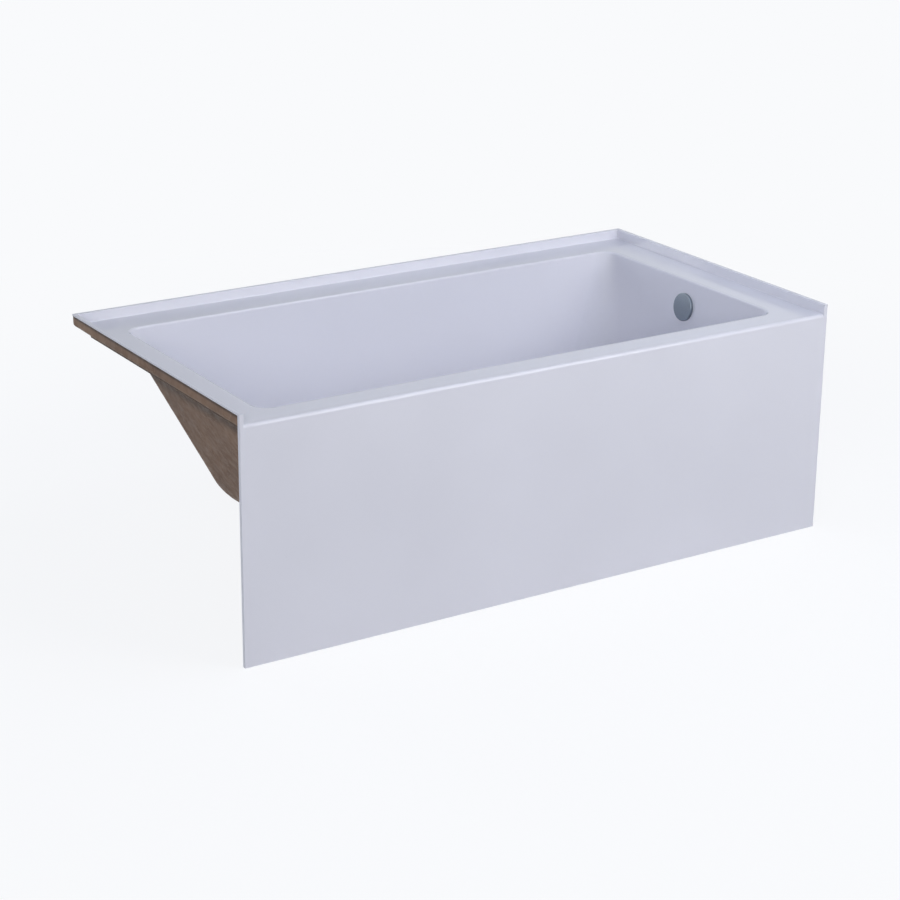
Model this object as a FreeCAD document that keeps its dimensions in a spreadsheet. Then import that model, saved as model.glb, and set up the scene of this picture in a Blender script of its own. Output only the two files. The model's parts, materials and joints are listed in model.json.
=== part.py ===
"""Alcove bathtub: acrylic shell with integral apron, laminate backing, timber base and waste."""
import FreeCAD, Part
import math
import os
import re
import Sketcher
from FreeCAD import Placement, Rotation, Vector

# Driving dimensions, in millimetres and degrees.  Each has a name, a value and what it is.
# The origin is the middle of the footprint at floor level: +X runs along the tub to the
# drain end, the apron faces -Y, and +Z is up.
DIMENSIONS = (
    ("tub_length", 1524, "end wall to end wall"),
    ("tub_width", 813, "apron face to back wall"),
    ("deck_height", 528, "floor to the flat deck"),
    ("flange_rise", 23, "tile flange above the deck"),
    ("acrylic_wall", 4, "formed acrylic sheet"),
    ("laminate_wall", 5, "fibreglass sprayed on the back of the sheet"),
    ("laminate_trim", 1, "laminate cut back from the edge of the sheet"),
    ("roll_radius", 8, "round from the deck to the apron"),
    ("foot_radius", 3, "inside round at the foot of the flange"),
    ("flange_round", 1.5, "round along the inner top of the flange"),
    ("deck_front", 69, "apron face to the basin opening"),
    ("deck_back", 98, "back wall to the basin opening"),
    ("deck_left", 80, "left wall to the basin opening"),
    ("deck_right", 100, "right wall to the basin opening"),
    ("opening_round", 5, "round along the edge of the opening"),
    ("opening_corner", 38, "corner of the basin at the deck, in plan"),
    ("floor_corner", 110, "corner of the basin at the floor, in plan"),
    ("floor_height", 92, "floor to the lowest point of the basin"),
    ("floor_fall", 0.6, "slope of the basin floor to the drain"),
    ("backrest_angle", 26, "backrest from upright"),
    ("end_angle", 7, "drain end from upright"),
    ("side_angle", 3, "front and back basin walls from upright"),
    ("backrest_blend", 150, "round from the backrest to the floor"),
    ("floor_blend", 60, "round from the other walls to the floor"),
    ("board_thickness", 16, "base board under the basin"),
    ("board_length", 870, "base board along the tub"),
    ("board_width", 460, "base board across the tub"),
    ("board_end_gap", 225, "right end of the base board from the right wall"),
    ("batten_width", 36, "rim battens, across"),
    ("batten_depth", 18, "rim battens, down from the deck"),
    ("rail_thickness", 30, "apron foot rail, front to back"),
    ("rail_height", 38, "apron foot rail, up"),
    ("rail_end_gap", 24, "apron foot rail from each end wall"),
    ("brace_thickness", 18, "apron brace board"),
    ("brace_lap", 30, "apron brace under the base board"),
    ("brace_lift", 6, "apron brace above the floor"),
    ("brace_spread", 400, "outer braces from the middle one"),
    ("bar_height", 34, "leg bar, top to bottom"),
    ("bar_channel", 34, "leg bar channel, outside width"),
    ("bar_flange", 18, "leg bar flange on each side of the channel"),
    ("bar_sheet", 2.5, "leg bar sheet steel"),
    ("bar_length", 400, "leg bar across the tub"),
    ("bar_spacing", 600, "between the two leg bars"),
    ("foot_end_gap", 30, "foot from the end of its leg bar"),
    ("stud_radius", 5, "foot stud"),
    ("stud_top_gap", 7, "stud end below the base board"),
    ("stud_seat", 4, "stud end above the floor, inside the pad"),
    ("pad_radius", 25, "foot pad"),
    ("pad_rim", 5, "foot pad at its edge"),
    ("pad_height", 12, "foot pad at its hub"),
    ("pad_hub", 11, "foot pad hub radius"),
    ("nut_flats", 17, "lock nut across flats"),
    ("nut_height", 8, "lock nut"),
    ("stud_clearance", 0.06, "stud in its lock nuts"),
    ("hole_clearance", 0.6, "free hole around a stud or a screw"),
    ("screw_radius", 2, "leg bar screw shank"),
    ("screw_head", 4.5, "leg bar screw head radius"),
    ("screw_head_height", 3, "leg bar screw head"),
    ("screw_bite", 12, "leg bar screw in the board"),
    ("screw_end_gap", 25, "outer screws from the end of a leg bar"),
    ("drain_end_gap", 262, "drain centre from the right wall"),
    ("drain_recess", 3, "drain seat below the basin floor"),
    ("recess_radius", 40, "drain seat"),
    ("drain_hole", 26, "hole for the strainer, radius"),
    ("strainer_flange", 37, "strainer flange radius"),
    ("flange_thickness", 3.5, "strainer flange"),
    ("barrel_radius", 22.5, "strainer barrel outside"),
    ("barrel_wall", 2.5, "strainer barrel wall"),
    ("barrel_length", 26, "strainer barrel below its flange"),
    ("crossbar_size", 5, "strainer crossbar, width and depth"),
    ("boss_radius", 8, "strainer centre boss"),
    ("boss_height", 8, "strainer centre boss"),
    ("post_radius", 4.8, "stopper post"),
    ("post_clearance", 0.05, "stopper hub around its post"),
    ("cap_radius", 30, "stopper cap"),
    ("cap_edge", 3, "stopper cap at its rim"),
    ("cap_dome", 2, "rise of the stopper cap at its middle"),
    ("seal_radius", 26.5, "stopper seal"),
    ("seal_thickness", 2, "stopper seal"),
    ("seal_gap", 0.1, "closed seal above the strainer"),
    ("hub_radius", 8, "stopper hub"),
    ("hub_length", 22, "stopper hub below the cap"),
    ("post_gap", 0.6, "post end below the closed cap"),
    ("notch_gap", 3, "board notch around the drain boss"),
    ("tube_radius", 19.05, "waste tube outside"),
    ("tube_wall", 1.6, "waste tube wall"),
    ("tube_clearance", 0.1, "tube in its socket"),
    ("fitting_wall", 4, "moulded waste fittings"),
    ("tube_insert", 20, "tube inside a socket"),
    ("gasket_thickness", 4, "drain and overflow gaskets"),
    ("gasket_band", 13, "gasket ring width"),
    ("shoe_flange", 5, "drain shoe flange thickness"),
    ("shoe_axis", 48, "shoe tube centre above the floor"),
    ("riser_gap", 62, "overflow tube centre from the right wall"),
    ("branch_reach", 46, "tee side socket from the tee centre"),
    ("outlet_gap", 4, "waste outlet above the floor"),
    ("slip_wall", 5, "slip nut around its fitting"),
    ("slip_length", 20, "slip nut"),
    ("slip_lip", 4, "slip nut end"),
    ("slip_gap", 2, "slip nut from the shoe flange"),
    ("washer_length", 4, "slip washer"),
    ("overflow_drop", 66, "overflow centre below the deck"),
    ("overflow_hole", 27, "overflow hole radius"),
    ("cover_radius", 34, "overflow cover"),
    ("cover_depth", 7, "overflow cover off the wall"),
    ("cover_sheet", 1.5, "overflow cover metal"),
    ("cover_gap", 0.5, "cover rim off the wall"),
    ("cover_slot", 24, "water slot in the cover rim"),
    ("ring_thickness", 4, "overflow retaining ring"),
    ("throat_radius", 24, "overflow elbow throat outside"),
    ("throat_wall", 3, "overflow elbow throat wall"),
    ("thread_gap", 0.1, "between screwed pieces"),
    ("elbow_drop", 56, "overflow elbow socket below its centre"),
)

doc = FreeCAD.newDocument("AlcoveBathtub")
sheet = doc.addObject("Spreadsheet::Sheet", "Sizes")
for row, (alias, number, meaning) in enumerate(DIMENSIONS, start=1):
    sheet.set("A%d" % row, str(number))
    sheet.setAlias("A%d" % row, alias)
    sheet.set("B%d" % row, meaning)
doc.recompute()

NAMES = re.compile(r"\b(%s)\b" % "|".join(alias for alias, number, meaning in DIMENSIONS))
ZERO = "0"
SLACK = 0.01
FRONT_TO_BACK = Vector(0, 1, 0)


def size(alias):
    """A driving dimension as a number."""
    return float(sheet.get(alias))


def bind(thing, prop, formula):
    """Tie a property to a formula in the names of the driving dimensions."""
    thing.setExpression(prop, NAMES.sub(r"Sizes.\1", formula))


def place(thing, x=ZERO, y=ZERO, z=ZERO):
    """Tie an object's place to three formulas."""
    bind(thing, "Placement.Base.x", x)
    bind(thing, "Placement.Base.y", y)
    bind(thing, "Placement.Base.z", z)


def turn(thing, angle):
    """Turn an object about the front-to-back axis by a formula in degrees."""
    thing.Placement = Placement(Vector(), Rotation(FRONT_TO_BACK, 1))
    bind(thing, "Placement.Rotation.Angle", angle)


def box(name, low, high):
    """A box between two corners, each a triple of formulas."""
    block = doc.addObject("Part::Box", name)
    for prop, start, end in zip(("Length", "Width", "Height"), low, high):
        bind(block, prop, "(%s) - (%s)" % (end, start))
    place(block, *low)
    return block


def cylinder(name, radius, start, end, centre):
    """An upright cylinder from one height to another about a plan point."""
    rod = doc.addObject("Part::Cylinder", name)
    bind(rod, "Radius", radius)
    bind(rod, "Height", "(%s) - (%s)" % (end, start))
    place(rod, centre[0], centre[1], start)
    return rod


def level_cylinder(name, radius, start, end, y, z):
    """A cylinder that lies along the tub between two stations."""
    rod = doc.addObject("Part::Cylinder", name)
    bind(rod, "Radius", radius)
    bind(rod, "Height", "(%s) - (%s)" % (end, start))
    turn(rod, "90")
    place(rod, start, y, z)
    return rod


def ball(name, radius, x, z):
    """A sphere on the basin's middle line."""
    sphere = doc.addObject("Part::Sphere", name)
    bind(sphere, "Radius", radius)
    place(sphere, x, BASIN_MIDDLE, z)
    return sphere


def fuse(name, *pieces):
    """One solid from several."""
    joined = doc.addObject("Part::MultiFuse", name)
    joined.Shapes = list(pieces)
    joined.Refine = True
    return joined


def cut(name, base, *tools):
    """A solid less some others."""
    result = base
    for number, tool in enumerate(tools):
        step = doc.addObject("Part::Cut", name if number == len(tools) - 1 else name + "_step")
        step.Base = result
        step.Tool = tool
        step.Refine = True
        result = step
    return result


def common(name, *pieces):
    """What several solids share."""
    shared = doc.addObject("Part::MultiCommon", name)
    shared.Shapes = list(pieces)
    return shared


def group(name, pieces):
    """Identical separate solids that share one node."""
    together = doc.addObject("Part::Compound", name)
    together.Links = list(pieces)
    return together


def fillet(name, base, radius_at):
    """Round the edges for which radius_at(edge) gives a pair of end radii."""
    doc.recompute()
    chosen = []
    for number, edge in enumerate(base.Shape.Edges, start=1):
        radii = radius_at(edge)
        if radii:
            chosen.append((number, radii[0], radii[1]))
    rounded = doc.addObject("Part::Fillet", name)
    rounded.Base = base
    rounded.Edges = chosen
    return rounded


def near(first, second):
    """Whether two lengths agree."""
    return abs(first - second) < SLACK


def edge_span(edge, axis):
    """The lowest and highest coordinate of an edge along x, y or z."""
    values = [getattr(vertex, axis) for vertex in edge.Vertexes]
    return min(values), max(values)


def outline(sketch, corners):
    """A closed outline with every corner tied to a pair of formulas."""
    count = len(corners)
    for number in range(count):
        start = Vector(number, (number * number) % count, 0)
        end = Vector(number + 1, ((number + 1) * (number + 1)) % count, 0)
        sketch.addGeometry(Part.LineSegment(start, end))
    for number in range(count):
        sketch.addConstraint(
            Sketcher.Constraint("Coincident", number, 2, (number + 1) % count, 1))
    for number, corner in enumerate(corners):
        for kind, axis, formula in (("DistanceX", "across", corner[0]),
                                    ("DistanceY", "along", corner[1])):
            place_in_sketch(sketch, kind, number, "%s_%d" % (axis, number), formula)


def place_in_sketch(sketch, kind, line, name, formula):
    """Tie one coordinate of a line's first point to a formula."""
    constraint = sketch.addConstraint(Sketcher.Constraint(kind, line, 1, float(line + 1)))
    sketch.renameConstraint(constraint, name)
    bind(sketch, "Constraints." + name, formula)


def body_sketch(body, name, plane):
    """A sketch on one of a body's own origin planes."""
    sketch = body.newObject("Sketcher::SketchObject", name)
    face = [item for item in body.Origin.OriginFeatures if item.Role == plane][0]
    sketch.AttachmentSupport = [(face, "")]
    sketch.MapMode = "FlatFace"
    return sketch


def turned(name, corners, x, y, z):
    """A turned body: a half outline of (radius, height) formulas about an upright axis."""
    body = doc.addObject("PartDesign::Body", name)
    sketch = body_sketch(body, name + "_outline", "XZ_Plane")
    outline(sketch, corners)
    revolution = body.newObject("PartDesign::Revolution", name + "_turned")
    revolution.Profile = sketch
    revolution.ReferenceAxis = (sketch, ["V_Axis"])
    revolution.Angle = 360
    place(body, x, y, z)
    return body


def extruded(name, plane, corners, length, x, y, z):
    """A body extruded from an outline, half its length to each side of the plane."""
    body = doc.addObject("PartDesign::Body", name)
    sketch = body_sketch(body, name + "_outline", plane)
    outline(sketch, corners)
    pad = body.newObject("PartDesign::Pad", name + "_pad")
    pad.Profile = sketch
    pad.SideType = "Symmetric"
    bind(pad, "Length", length)
    place(body, x, y, z)
    return body


# ---------------------------------------------------------------- common stations
LEFT = "(-tub_length / 2)"
RIGHT = "(tub_length / 2)"
FRONT = "(-tub_width / 2)"
BACK = "(tub_width / 2)"
SKIN = "(acrylic_wall + laminate_wall)"
FLANGE_TOP = "(deck_height + flange_rise)"
UNDER_DECK = "(deck_height - acrylic_wall - laminate_wall)"
BASIN_MIDDLE = "((deck_front - deck_back) / 2)"
DRAIN_X = "(tub_length / 2 - drain_end_gap)"
DRAIN_SEAT = "(floor_height - drain_recess)"
UNDER_BASIN = "(floor_height - acrylic_wall - laminate_wall)"
UNDER_BOARD = "(floor_height - acrylic_wall - laminate_wall - board_thickness)"
UNDER_BAR = "(floor_height - acrylic_wall - laminate_wall - board_thickness - bar_height)"
RISER_X = "(tub_length / 2 - riser_gap)"
APRON_BACK = "(-tub_width / 2 + acrylic_wall + laminate_wall)"
BOARD_RIGHT = "(tub_length / 2 - board_end_gap)"
BOARD_LEFT = "(tub_length / 2 - board_end_gap - board_length)"
BOARD_MIDDLE = "(tub_length / 2 - board_end_gap - board_length / 2)"
WATERWAY = "(tube_radius - tube_wall)"
SOCKET_INNER = "(tube_radius + tube_clearance)"
SOCKET_OUTER = "(tube_radius + tube_clearance + fitting_wall)"
SHOE_TOP = "(%s - %s - gasket_thickness)" % (DRAIN_SEAT, SKIN)
NUT_OVERLAP = "(slip_length - slip_lip - washer_length)"
GASKET_INNER_DRAIN = "(barrel_radius + hole_clearance)"
GASKET_OUTER_DRAIN = "(barrel_radius + hole_clearance + gasket_band)"
SHOE_MOUTH = "(%s + %s + slip_gap + %s)" % (DRAIN_X, GASKET_OUTER_DRAIN, NUT_OVERLAP)
BRANCH_MOUTH = "(%s - branch_reach)" % RISER_X
TEE_TOP = "(shoe_axis + branch_reach)"
CAP_UNDER = "(%s + flange_thickness + seal_gap + seal_thickness)" % DRAIN_SEAT
OVERFLOW_X = "(tub_length / 2 - deck_right - overflow_drop * tan(end_angle * 1 deg))"
OVERFLOW_Z = "(deck_height - overflow_drop)"
OVERFLOW_FLANGE = "(throat_radius + hole_clearance + gasket_band)"
ELBOW_Z = "(%s - (%s - %s) * tan(end_angle * 1 deg))" % (OVERFLOW_Z, RISER_X, OVERFLOW_X)
ELBOW_MOUTH = "(%s - elbow_drop)" % ELBOW_Z


# ---------------------------------------------------------------- basin forms
def total(depth):
    """A depth formula, which is a sum of walls, as a number."""
    return sum(size(alias) for alias in NAMES.findall(depth))


def basin_section(name, level, depth):
    """The basin's plan at a level, moved outwards into the wall by a depth."""
    drop = "(deck_height - (%s))" % level
    walls = {
        "left": "-tub_length / 2 + deck_left + %s * tan(backrest_angle * 1 deg)"
                " - (%s) / cos(backrest_angle * 1 deg)" % (drop, depth),
        "right": "tub_length / 2 - deck_right - %s * tan(end_angle * 1 deg)"
                 " + (%s) / cos(end_angle * 1 deg)" % (drop, depth),
        "front": "-tub_width / 2 + deck_front + %s * tan(side_angle * 1 deg)"
                 " - (%s) / cos(side_angle * 1 deg)" % (drop, depth),
        "back": "tub_width / 2 - deck_back - %s * tan(side_angle * 1 deg)"
                " + (%s) / cos(side_angle * 1 deg)" % (drop, depth),
    }
    corner = ("opening_corner + (floor_corner - opening_corner) * %s"
              " / (deck_height - floor_height) + (%s)" % (drop, depth))
    sketch = doc.addObject("Sketcher::SketchObject", name)
    half_length = size("tub_length") / 2 - size("deck_left")
    half_width = size("tub_width") / 2 - size("deck_front")
    radius = size("opening_corner")
    inner = (half_length - radius, half_width - radius)
    turns = ((-1, -1), (1, -1), (1, 1), (-1, 1))
    for number, (side_x, side_y) in enumerate(turns):
        next_x, next_y = turns[(number + 1) % 4]
        outward = Vector(side_x if side_x == next_x else 0, side_y if side_y == next_y else 0, 0)
        start = Vector(side_x * inner[0], side_y * inner[1], 0) + outward * radius
        end = Vector(next_x * inner[0], next_y * inner[1], 0) + outward * radius
        sketch.addGeometry(Part.LineSegment(start, end))
    for number, (side_x, side_y) in enumerate(turns):
        circle = Part.Circle(Vector(side_x * inner[0], side_y * inner[1], 0), Vector(0, 0, 1), radius)
        start = math.radians(180 + 90 * number)
        sketch.addGeometry(Part.ArcOfCircle(circle, start, start + math.radians(90)))
    for number in range(4):
        sketch.addConstraint(Sketcher.Constraint("Tangent", 4 + number, 2, number, 1))
        sketch.addConstraint(Sketcher.Constraint("Tangent", number, 2, 4 + (number + 1) % 4, 1))
        sketch.addConstraint(Sketcher.Constraint("Vertical" if number % 2 else "Horizontal", number))
    for number in range(5, 8):
        sketch.addConstraint(Sketcher.Constraint("Equal", 4, number))
    bound = (("front", "DistanceY", 0), ("right", "DistanceX", 1),
             ("back", "DistanceY", 2), ("left", "DistanceX", 3))
    for side, kind, line in bound:
        point = sketch.getPoint(line, 1)
        start = point.x if kind == "DistanceX" else point.y
        constraint = sketch.addConstraint(Sketcher.Constraint(kind, line, 1, start))
        sketch.renameConstraint(constraint, side)
        bind(sketch, "Constraints." + side, walls[side])
    constraint = sketch.addConstraint(Sketcher.Constraint("Radius", 4, radius))
    sketch.renameConstraint(constraint, "corner")
    bind(sketch, "Constraints.corner", corner)
    place(sketch, z=level)
    return sketch


def basin_form(name, depth, fall):
    """The basin as a solid, its walls moved out by a depth, with its floor rounds."""
    above = basin_section(name + "_above", "deck_height + flange_rise", depth)
    below = basin_section(name + "_below", "floor_height / 2", depth)
    walls = doc.addObject("Part::Loft", name + "_walls")
    walls.Sections = [above, below]
    walls.Solid = True
    walls.Ruled = True
    ground = doc.addObject("Part::Box", name + "_ground")
    bind(ground, "Length", "2 * tub_length")
    bind(ground, "Width", "2 * tub_width")
    bind(ground, "Height", "tub_width")
    turn(ground, fall)
    reach = "(tub_length + %s)" % DRAIN_X
    level = "(floor_height - (%s))" % depth
    place(ground,
          "%s - %s * cos(%s * 1 deg) - tub_width * sin(%s * 1 deg)" % (DRAIN_X, reach, fall, fall),
          "-tub_width",
          "%s + %s * sin(%s * 1 deg) - tub_width * cos(%s * 1 deg)" % (level, reach, fall, fall))
    floored = cut(name + "_floored", walls, ground)
    doc.recompute()
    deep = size("deck_height") - size("floor_height")
    floor_edges = [edge for edge in floored.Shape.Edges
                   if edge_span(edge, "Z")[1] < size("floor_height") + deep / 10]
    foot = min(edge_span(edge, "X")[0] for edge in floor_edges)
    extra = total(depth)

    def radius_at(edge):
        if edge_span(edge, "Z")[1] > size("floor_height") + deep / 10:
            return None
        ends = [edge.valueAt(edge.FirstParameter), edge.valueAt(edge.LastParameter)]
        return [extra + (size("backrest_blend") if near(end.x, foot) else size("floor_blend"))
                for end in ends]

    rounded = fillet(name + "_rounded", floored, radius_at)
    seat = cylinder(name + "_seat", "recess_radius + (%s)" % depth,
                    DRAIN_SEAT + " - (%s)" % depth, "floor_height + recess_radius / 4",
                    (DRAIN_X, BASIN_MIDDLE))
    return fuse(name, rounded, seat)


# ---------------------------------------------------------------- mould forms
def mould(name, depth, upstand, fall):
    """Everything behind the visible surface, starting at a depth below it."""
    low = (LEFT, "%s + %s" % (FRONT, depth), ZERO)
    form = box(name + "_block", low, (RIGHT, BACK, "deck_height - (%s)" % depth))
    moved = total(depth)
    inner_x = size("tub_length") / 2 - size("acrylic_wall") - size("laminate_wall") + moved
    inner_y = size("tub_width") / 2 - size("acrylic_wall") - size("laminate_wall") + moved
    deck = size("deck_height") - moved
    if upstand:
        rim = box(name + "_rim", low, (RIGHT, BACK, "%s - (%s)" % (FLANGE_TOP, depth)))
        well = box(name + "_well",
                   ("%s + %s - (%s)" % (LEFT, SKIN, depth), FRONT + " - deck_front",
                    "deck_height - (%s)" % depth),
                   ("%s - %s + (%s)" % (RIGHT, SKIN, depth), "%s - %s + (%s)" % (BACK, SKIN, depth),
                    FLANGE_TOP + " + flange_rise"))
        stepped = cut(name + "_stepped", rim, well)

        def foot_radius_at(edge):
            x_low, x_high = edge_span(edge, "X")
            y_low, y_high = edge_span(edge, "Y")
            z_low, z_high = edge_span(edge, "Z")
            at_side = near(x_low, x_high) and near(abs(x_low), inner_x)
            at_back = near(y_low, y_high) and near(y_low, inner_y)
            at_deck = near(z_low, deck) and near(z_high, deck)
            radius = size("foot_radius") + moved
            return (radius, radius) if at_deck and (at_side or at_back) or at_side and at_back else None

        form = fillet(name + "_footed", stepped, foot_radius_at)
    roll = "(roll_radius - (%s))" % depth
    if size("roll_radius") > moved:
        low = ("%s + %s - (%s)" % (LEFT, SKIN, depth) if upstand else LEFT, FRONT,
               "deck_height - (%s) - %s" % (depth, roll))
        high = ("%s - %s + (%s)" % (RIGHT, SKIN, depth) if upstand else RIGHT,
                "%s + roll_radius" % FRONT,
                "deck_height - (%s) + foot_radius + (%s)" % (depth, depth))
        corner = box(name + "_corner", low, high)
        bar = level_cylinder(name + "_bar", roll, LEFT, RIGHT, high[1], low[2])
        form = cut(name + "_rolled", form, cut(name + "_cove", corner, bar))
    form = cut(name + "_hollowed", form, basin_form(name + "_basin", depth, fall))
    if size("opening_round") > moved:
        reach_x = size("tub_length") / 2 - size("deck_left") / 2
        reach_y = size("tub_width") / 2 - size("deck_front") / 2

        def opening_radius_at(edge):
            level = edge_span(edge, "Z")
            inside_x = max(abs(value) for value in edge_span(edge, "X")) < reach_x
            inside_y = max(abs(value) for value in edge_span(edge, "Y")) < reach_y
            radius = size("opening_round") - moved
            at_deck = near(level[0], deck) and near(level[1], deck)
            return (radius, radius) if at_deck and inside_x and inside_y else None

        form = fillet(name, form, opening_radius_at)
    return form


# ---------------------------------------------------------------- shell
def overflow_rod(name, radius, start, end):
    """A cylinder square to the drain end, between two distances behind its face."""
    rod = doc.addObject("Part::Cylinder", name)
    bind(rod, "Radius", radius)
    bind(rod, "Height", "(%s) - (%s)" % (end, start))
    turn(rod, "90 + end_angle")
    place(rod, "%s + (%s) * cos(end_angle * 1 deg)" % (OVERFLOW_X, start), BASIN_MIDDLE,
          "%s - (%s) * sin(end_angle * 1 deg)" % (OVERFLOW_Z, start))
    return rod


def shell_holes(name):
    """The drain and overflow holes through both skins."""
    drain = cylinder(name + "_drain_hole", "drain_hole", UNDER_BOARD, "floor_height + drain_hole",
                     (DRAIN_X, BASIN_MIDDLE))
    overflow = overflow_rod(name + "_overflow_hole", "overflow_hole", "-overflow_hole",
                            "2 * %s + foot_radius" % SKIN)
    return drain, overflow


def apron_returns(name):
    """The sheet folded round both ends of the apron, over the edge of the laminate."""
    low_end = (LEFT, FRONT, ZERO)
    high_end = (LEFT + " + laminate_wall", "%s + %s" % (FRONT, SKIN), FLANGE_TOP)
    left = box(name + "_left_return", low_end, high_end)
    right = box(name + "_right_return", (RIGHT + " - laminate_wall", FRONT, ZERO),
                (RIGHT, high_end[1], FLANGE_TOP))
    return left, right


def acrylic_shell(joint):
    """Deck, basin, apron and tile flange in one formed sheet, in front of the joint form."""
    sheet_form = cut("sheet_form", mould("front_form", ZERO, True, "floor_fall"), joint)
    whole = fuse("folded_sheet", sheet_form, *apron_returns("sheet"))

    inner_x = size("tub_length") / 2 - size("acrylic_wall") - size("laminate_wall")
    inner_y = size("tub_width") / 2 - size("acrylic_wall") - size("laminate_wall")
    top = size("deck_height") + size("flange_rise")
    radius = size("flange_round")

    def radius_at(edge):
        low, high = edge_span(edge, "Z")
        farthest = max(abs(value) for value in edge_span(edge, "X"))
        inside = farthest < inner_x + SLACK and edge_span(edge, "Y")[1] < inner_y + SLACK
        return (radius, radius) if near(low, top) and near(high, top) and inside else None

    rounded = fillet("rounded_sheet", whole, radius_at)
    return cut("acrylic_shell", rounded, *shell_holes("sheet"))


def laminate_bounds():
    """Where the laminate may be: its edge is trimmed, and rolled under along the flange."""
    roll = "(foot_radius + %s - laminate_trim)" % SKIN
    rim = box("laminate_rim", (LEFT + " + laminate_trim", FRONT, UNDER_DECK),
              (RIGHT + " - laminate_trim", BACK + " - laminate_trim", FLANGE_TOP))
    under = size("deck_height") - size("acrylic_wall") - size("laminate_wall")
    front = -size("tub_width") / 2
    radius = (size("foot_radius") + size("acrylic_wall") + size("laminate_wall")
              - size("laminate_trim"))

    def radius_at(edge):
        low, high = edge_span(edge, "Z")
        if near(low, under) and near(high, under) and not near(edge_span(edge, "Y")[1], front):
            return radius, radius
        return None

    apron = box("laminate_apron", (LEFT + " + laminate_wall", FRONT, "laminate_trim"),
                (RIGHT + " - laminate_wall", APRON_BACK, UNDER_DECK + " + " + roll))
    basin = box("laminate_basin", (LEFT + " + deck_left / 2", FRONT, "laminate_trim"),
                (RIGHT + " - deck_right / 2", BACK + " - deck_back / 2",
                 UNDER_DECK + " + laminate_wall / 2"))
    return fuse("laminate_bounds", fillet("laminate_rolled_rim", rim, radius_at), apron, basin)


def fibreglass_backing(joint):
    """The laminate behind the whole sheet, trimmed back from its edges."""
    behind = common("laminate_extent", joint, laminate_bounds())
    return cut("fibreglass_backing", behind, mould("laminate_back", SKIN, False, ZERO),
               *apron_returns("laminate"), *shell_holes("laminate"))


# ---------------------------------------------------------------- timber
def base_board():
    """The board bonded under the basin, notched for the drain and drilled for the leg bars."""
    board = box("board_blank",
                (BOARD_LEFT, BASIN_MIDDLE + " - board_width / 2", UNDER_BOARD),
                (BOARD_RIGHT, BASIN_MIDDLE + " + board_width / 2", UNDER_BASIN))
    notch = "(recess_radius + %s + notch_gap)" % SKIN
    round_end = cylinder("board_notch_end", notch, UNDER_BAR, "floor_height",
                         (DRAIN_X, BASIN_MIDDLE))
    open_end = box("board_notch", (DRAIN_X, "%s - %s" % (BASIN_MIDDLE, notch), UNDER_BAR),
                   (RIGHT, "%s + %s" % (BASIN_MIDDLE, notch), "floor_height"))
    pilots = [cylinder("board_pilot_%d" % number, "screw_radius", UNDER_BAR,
                       UNDER_BOARD + " + screw_bite", spot)
              for number, spot in enumerate(screw_spots())]
    return cut("base_board", board, fuse("board_cuts", round_end, open_end, *pilots))


def rim_battens():
    """Four battens under the deck, the end ones butted between the long ones."""
    top = UNDER_DECK
    bottom = UNDER_DECK + " - batten_depth"
    left = "(-tub_length / 2 + (%s + deck_left) / 2)" % SKIN
    right = "(tub_length / 2 - (%s + deck_right) / 2)" % SKIN
    front = "(-tub_width / 2 + (%s + deck_front) / 2)" % SKIN
    back = "(tub_width / 2 - (%s + deck_back) / 2)" % SKIN
    half = "batten_width / 2"
    long_ends = ("%s - %s" % (left, half), "%s + %s" % (right, half))
    for name, middle in (("front_rim_batten", front), ("back_rim_batten", back)):
        yield box(name, (long_ends[0], "%s - %s" % (middle, half), bottom),
                  (long_ends[1], "%s + %s" % (middle, half), top))
    for name, middle in (("left_rim_batten", left), ("right_rim_batten", right)):
        yield box(name, ("%s - %s" % (middle, half), "%s + %s" % (front, half), bottom),
                  ("%s + %s" % (middle, half), "%s - %s" % (back, half), top))


def apron_foot_rail():
    """The rail along the foot of the apron, behind its laminate."""
    return box("apron_foot_rail", (LEFT + " + rail_end_gap", APRON_BACK, ZERO),
               (RIGHT + " - rail_end_gap", APRON_BACK + " + rail_thickness", "rail_height"))


def apron_braces():
    """Three boards on edge that tie the foot rail to the base board."""
    for number, name in enumerate(("left_apron_brace", "middle_apron_brace", "right_apron_brace")):
        middle = "(%s + %d * brace_spread)" % (BOARD_MIDDLE, number - 1)
        yield box(name, (middle + " - brace_thickness / 2", APRON_BACK + " + rail_thickness",
                         "brace_lift"),
                  (middle + " + brace_thickness / 2",
                   BASIN_MIDDLE + " - board_width / 2 + brace_lap", UNDER_BOARD))


# ---------------------------------------------------------------- legs
def bar_stations():
    """The middles of the two leg bars along the tub."""
    return [(side, "(%s + %d * bar_spacing / 2)" % (BOARD_MIDDLE, sign))
            for side, sign in (("left", -1), ("right", 1))]


def foot_spots():
    """The four feet: name and plan point."""
    for side, station in bar_stations():
        for face, sign in (("front", -1), ("back", 1)):
            across = "(%s + %d * (bar_length / 2 - foot_end_gap))" % (BASIN_MIDDLE, sign)
            yield "%s_%s" % (face, side), (station, across)


def screw_spots():
    """The eight screws that hold the leg bars to the base board."""
    across = "(bar_channel + bar_flange) / 2"
    along = "(bar_length / 2 - screw_end_gap)"
    for side, station in bar_stations():
        for x_sign in (-1, 1):
            for y_sign in (-1, 1):
                yield ("(%s + %d * %s)" % (station, x_sign, across),
                       "(%s + %d * %s)" % (BASIN_MIDDLE, y_sign, along))


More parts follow.
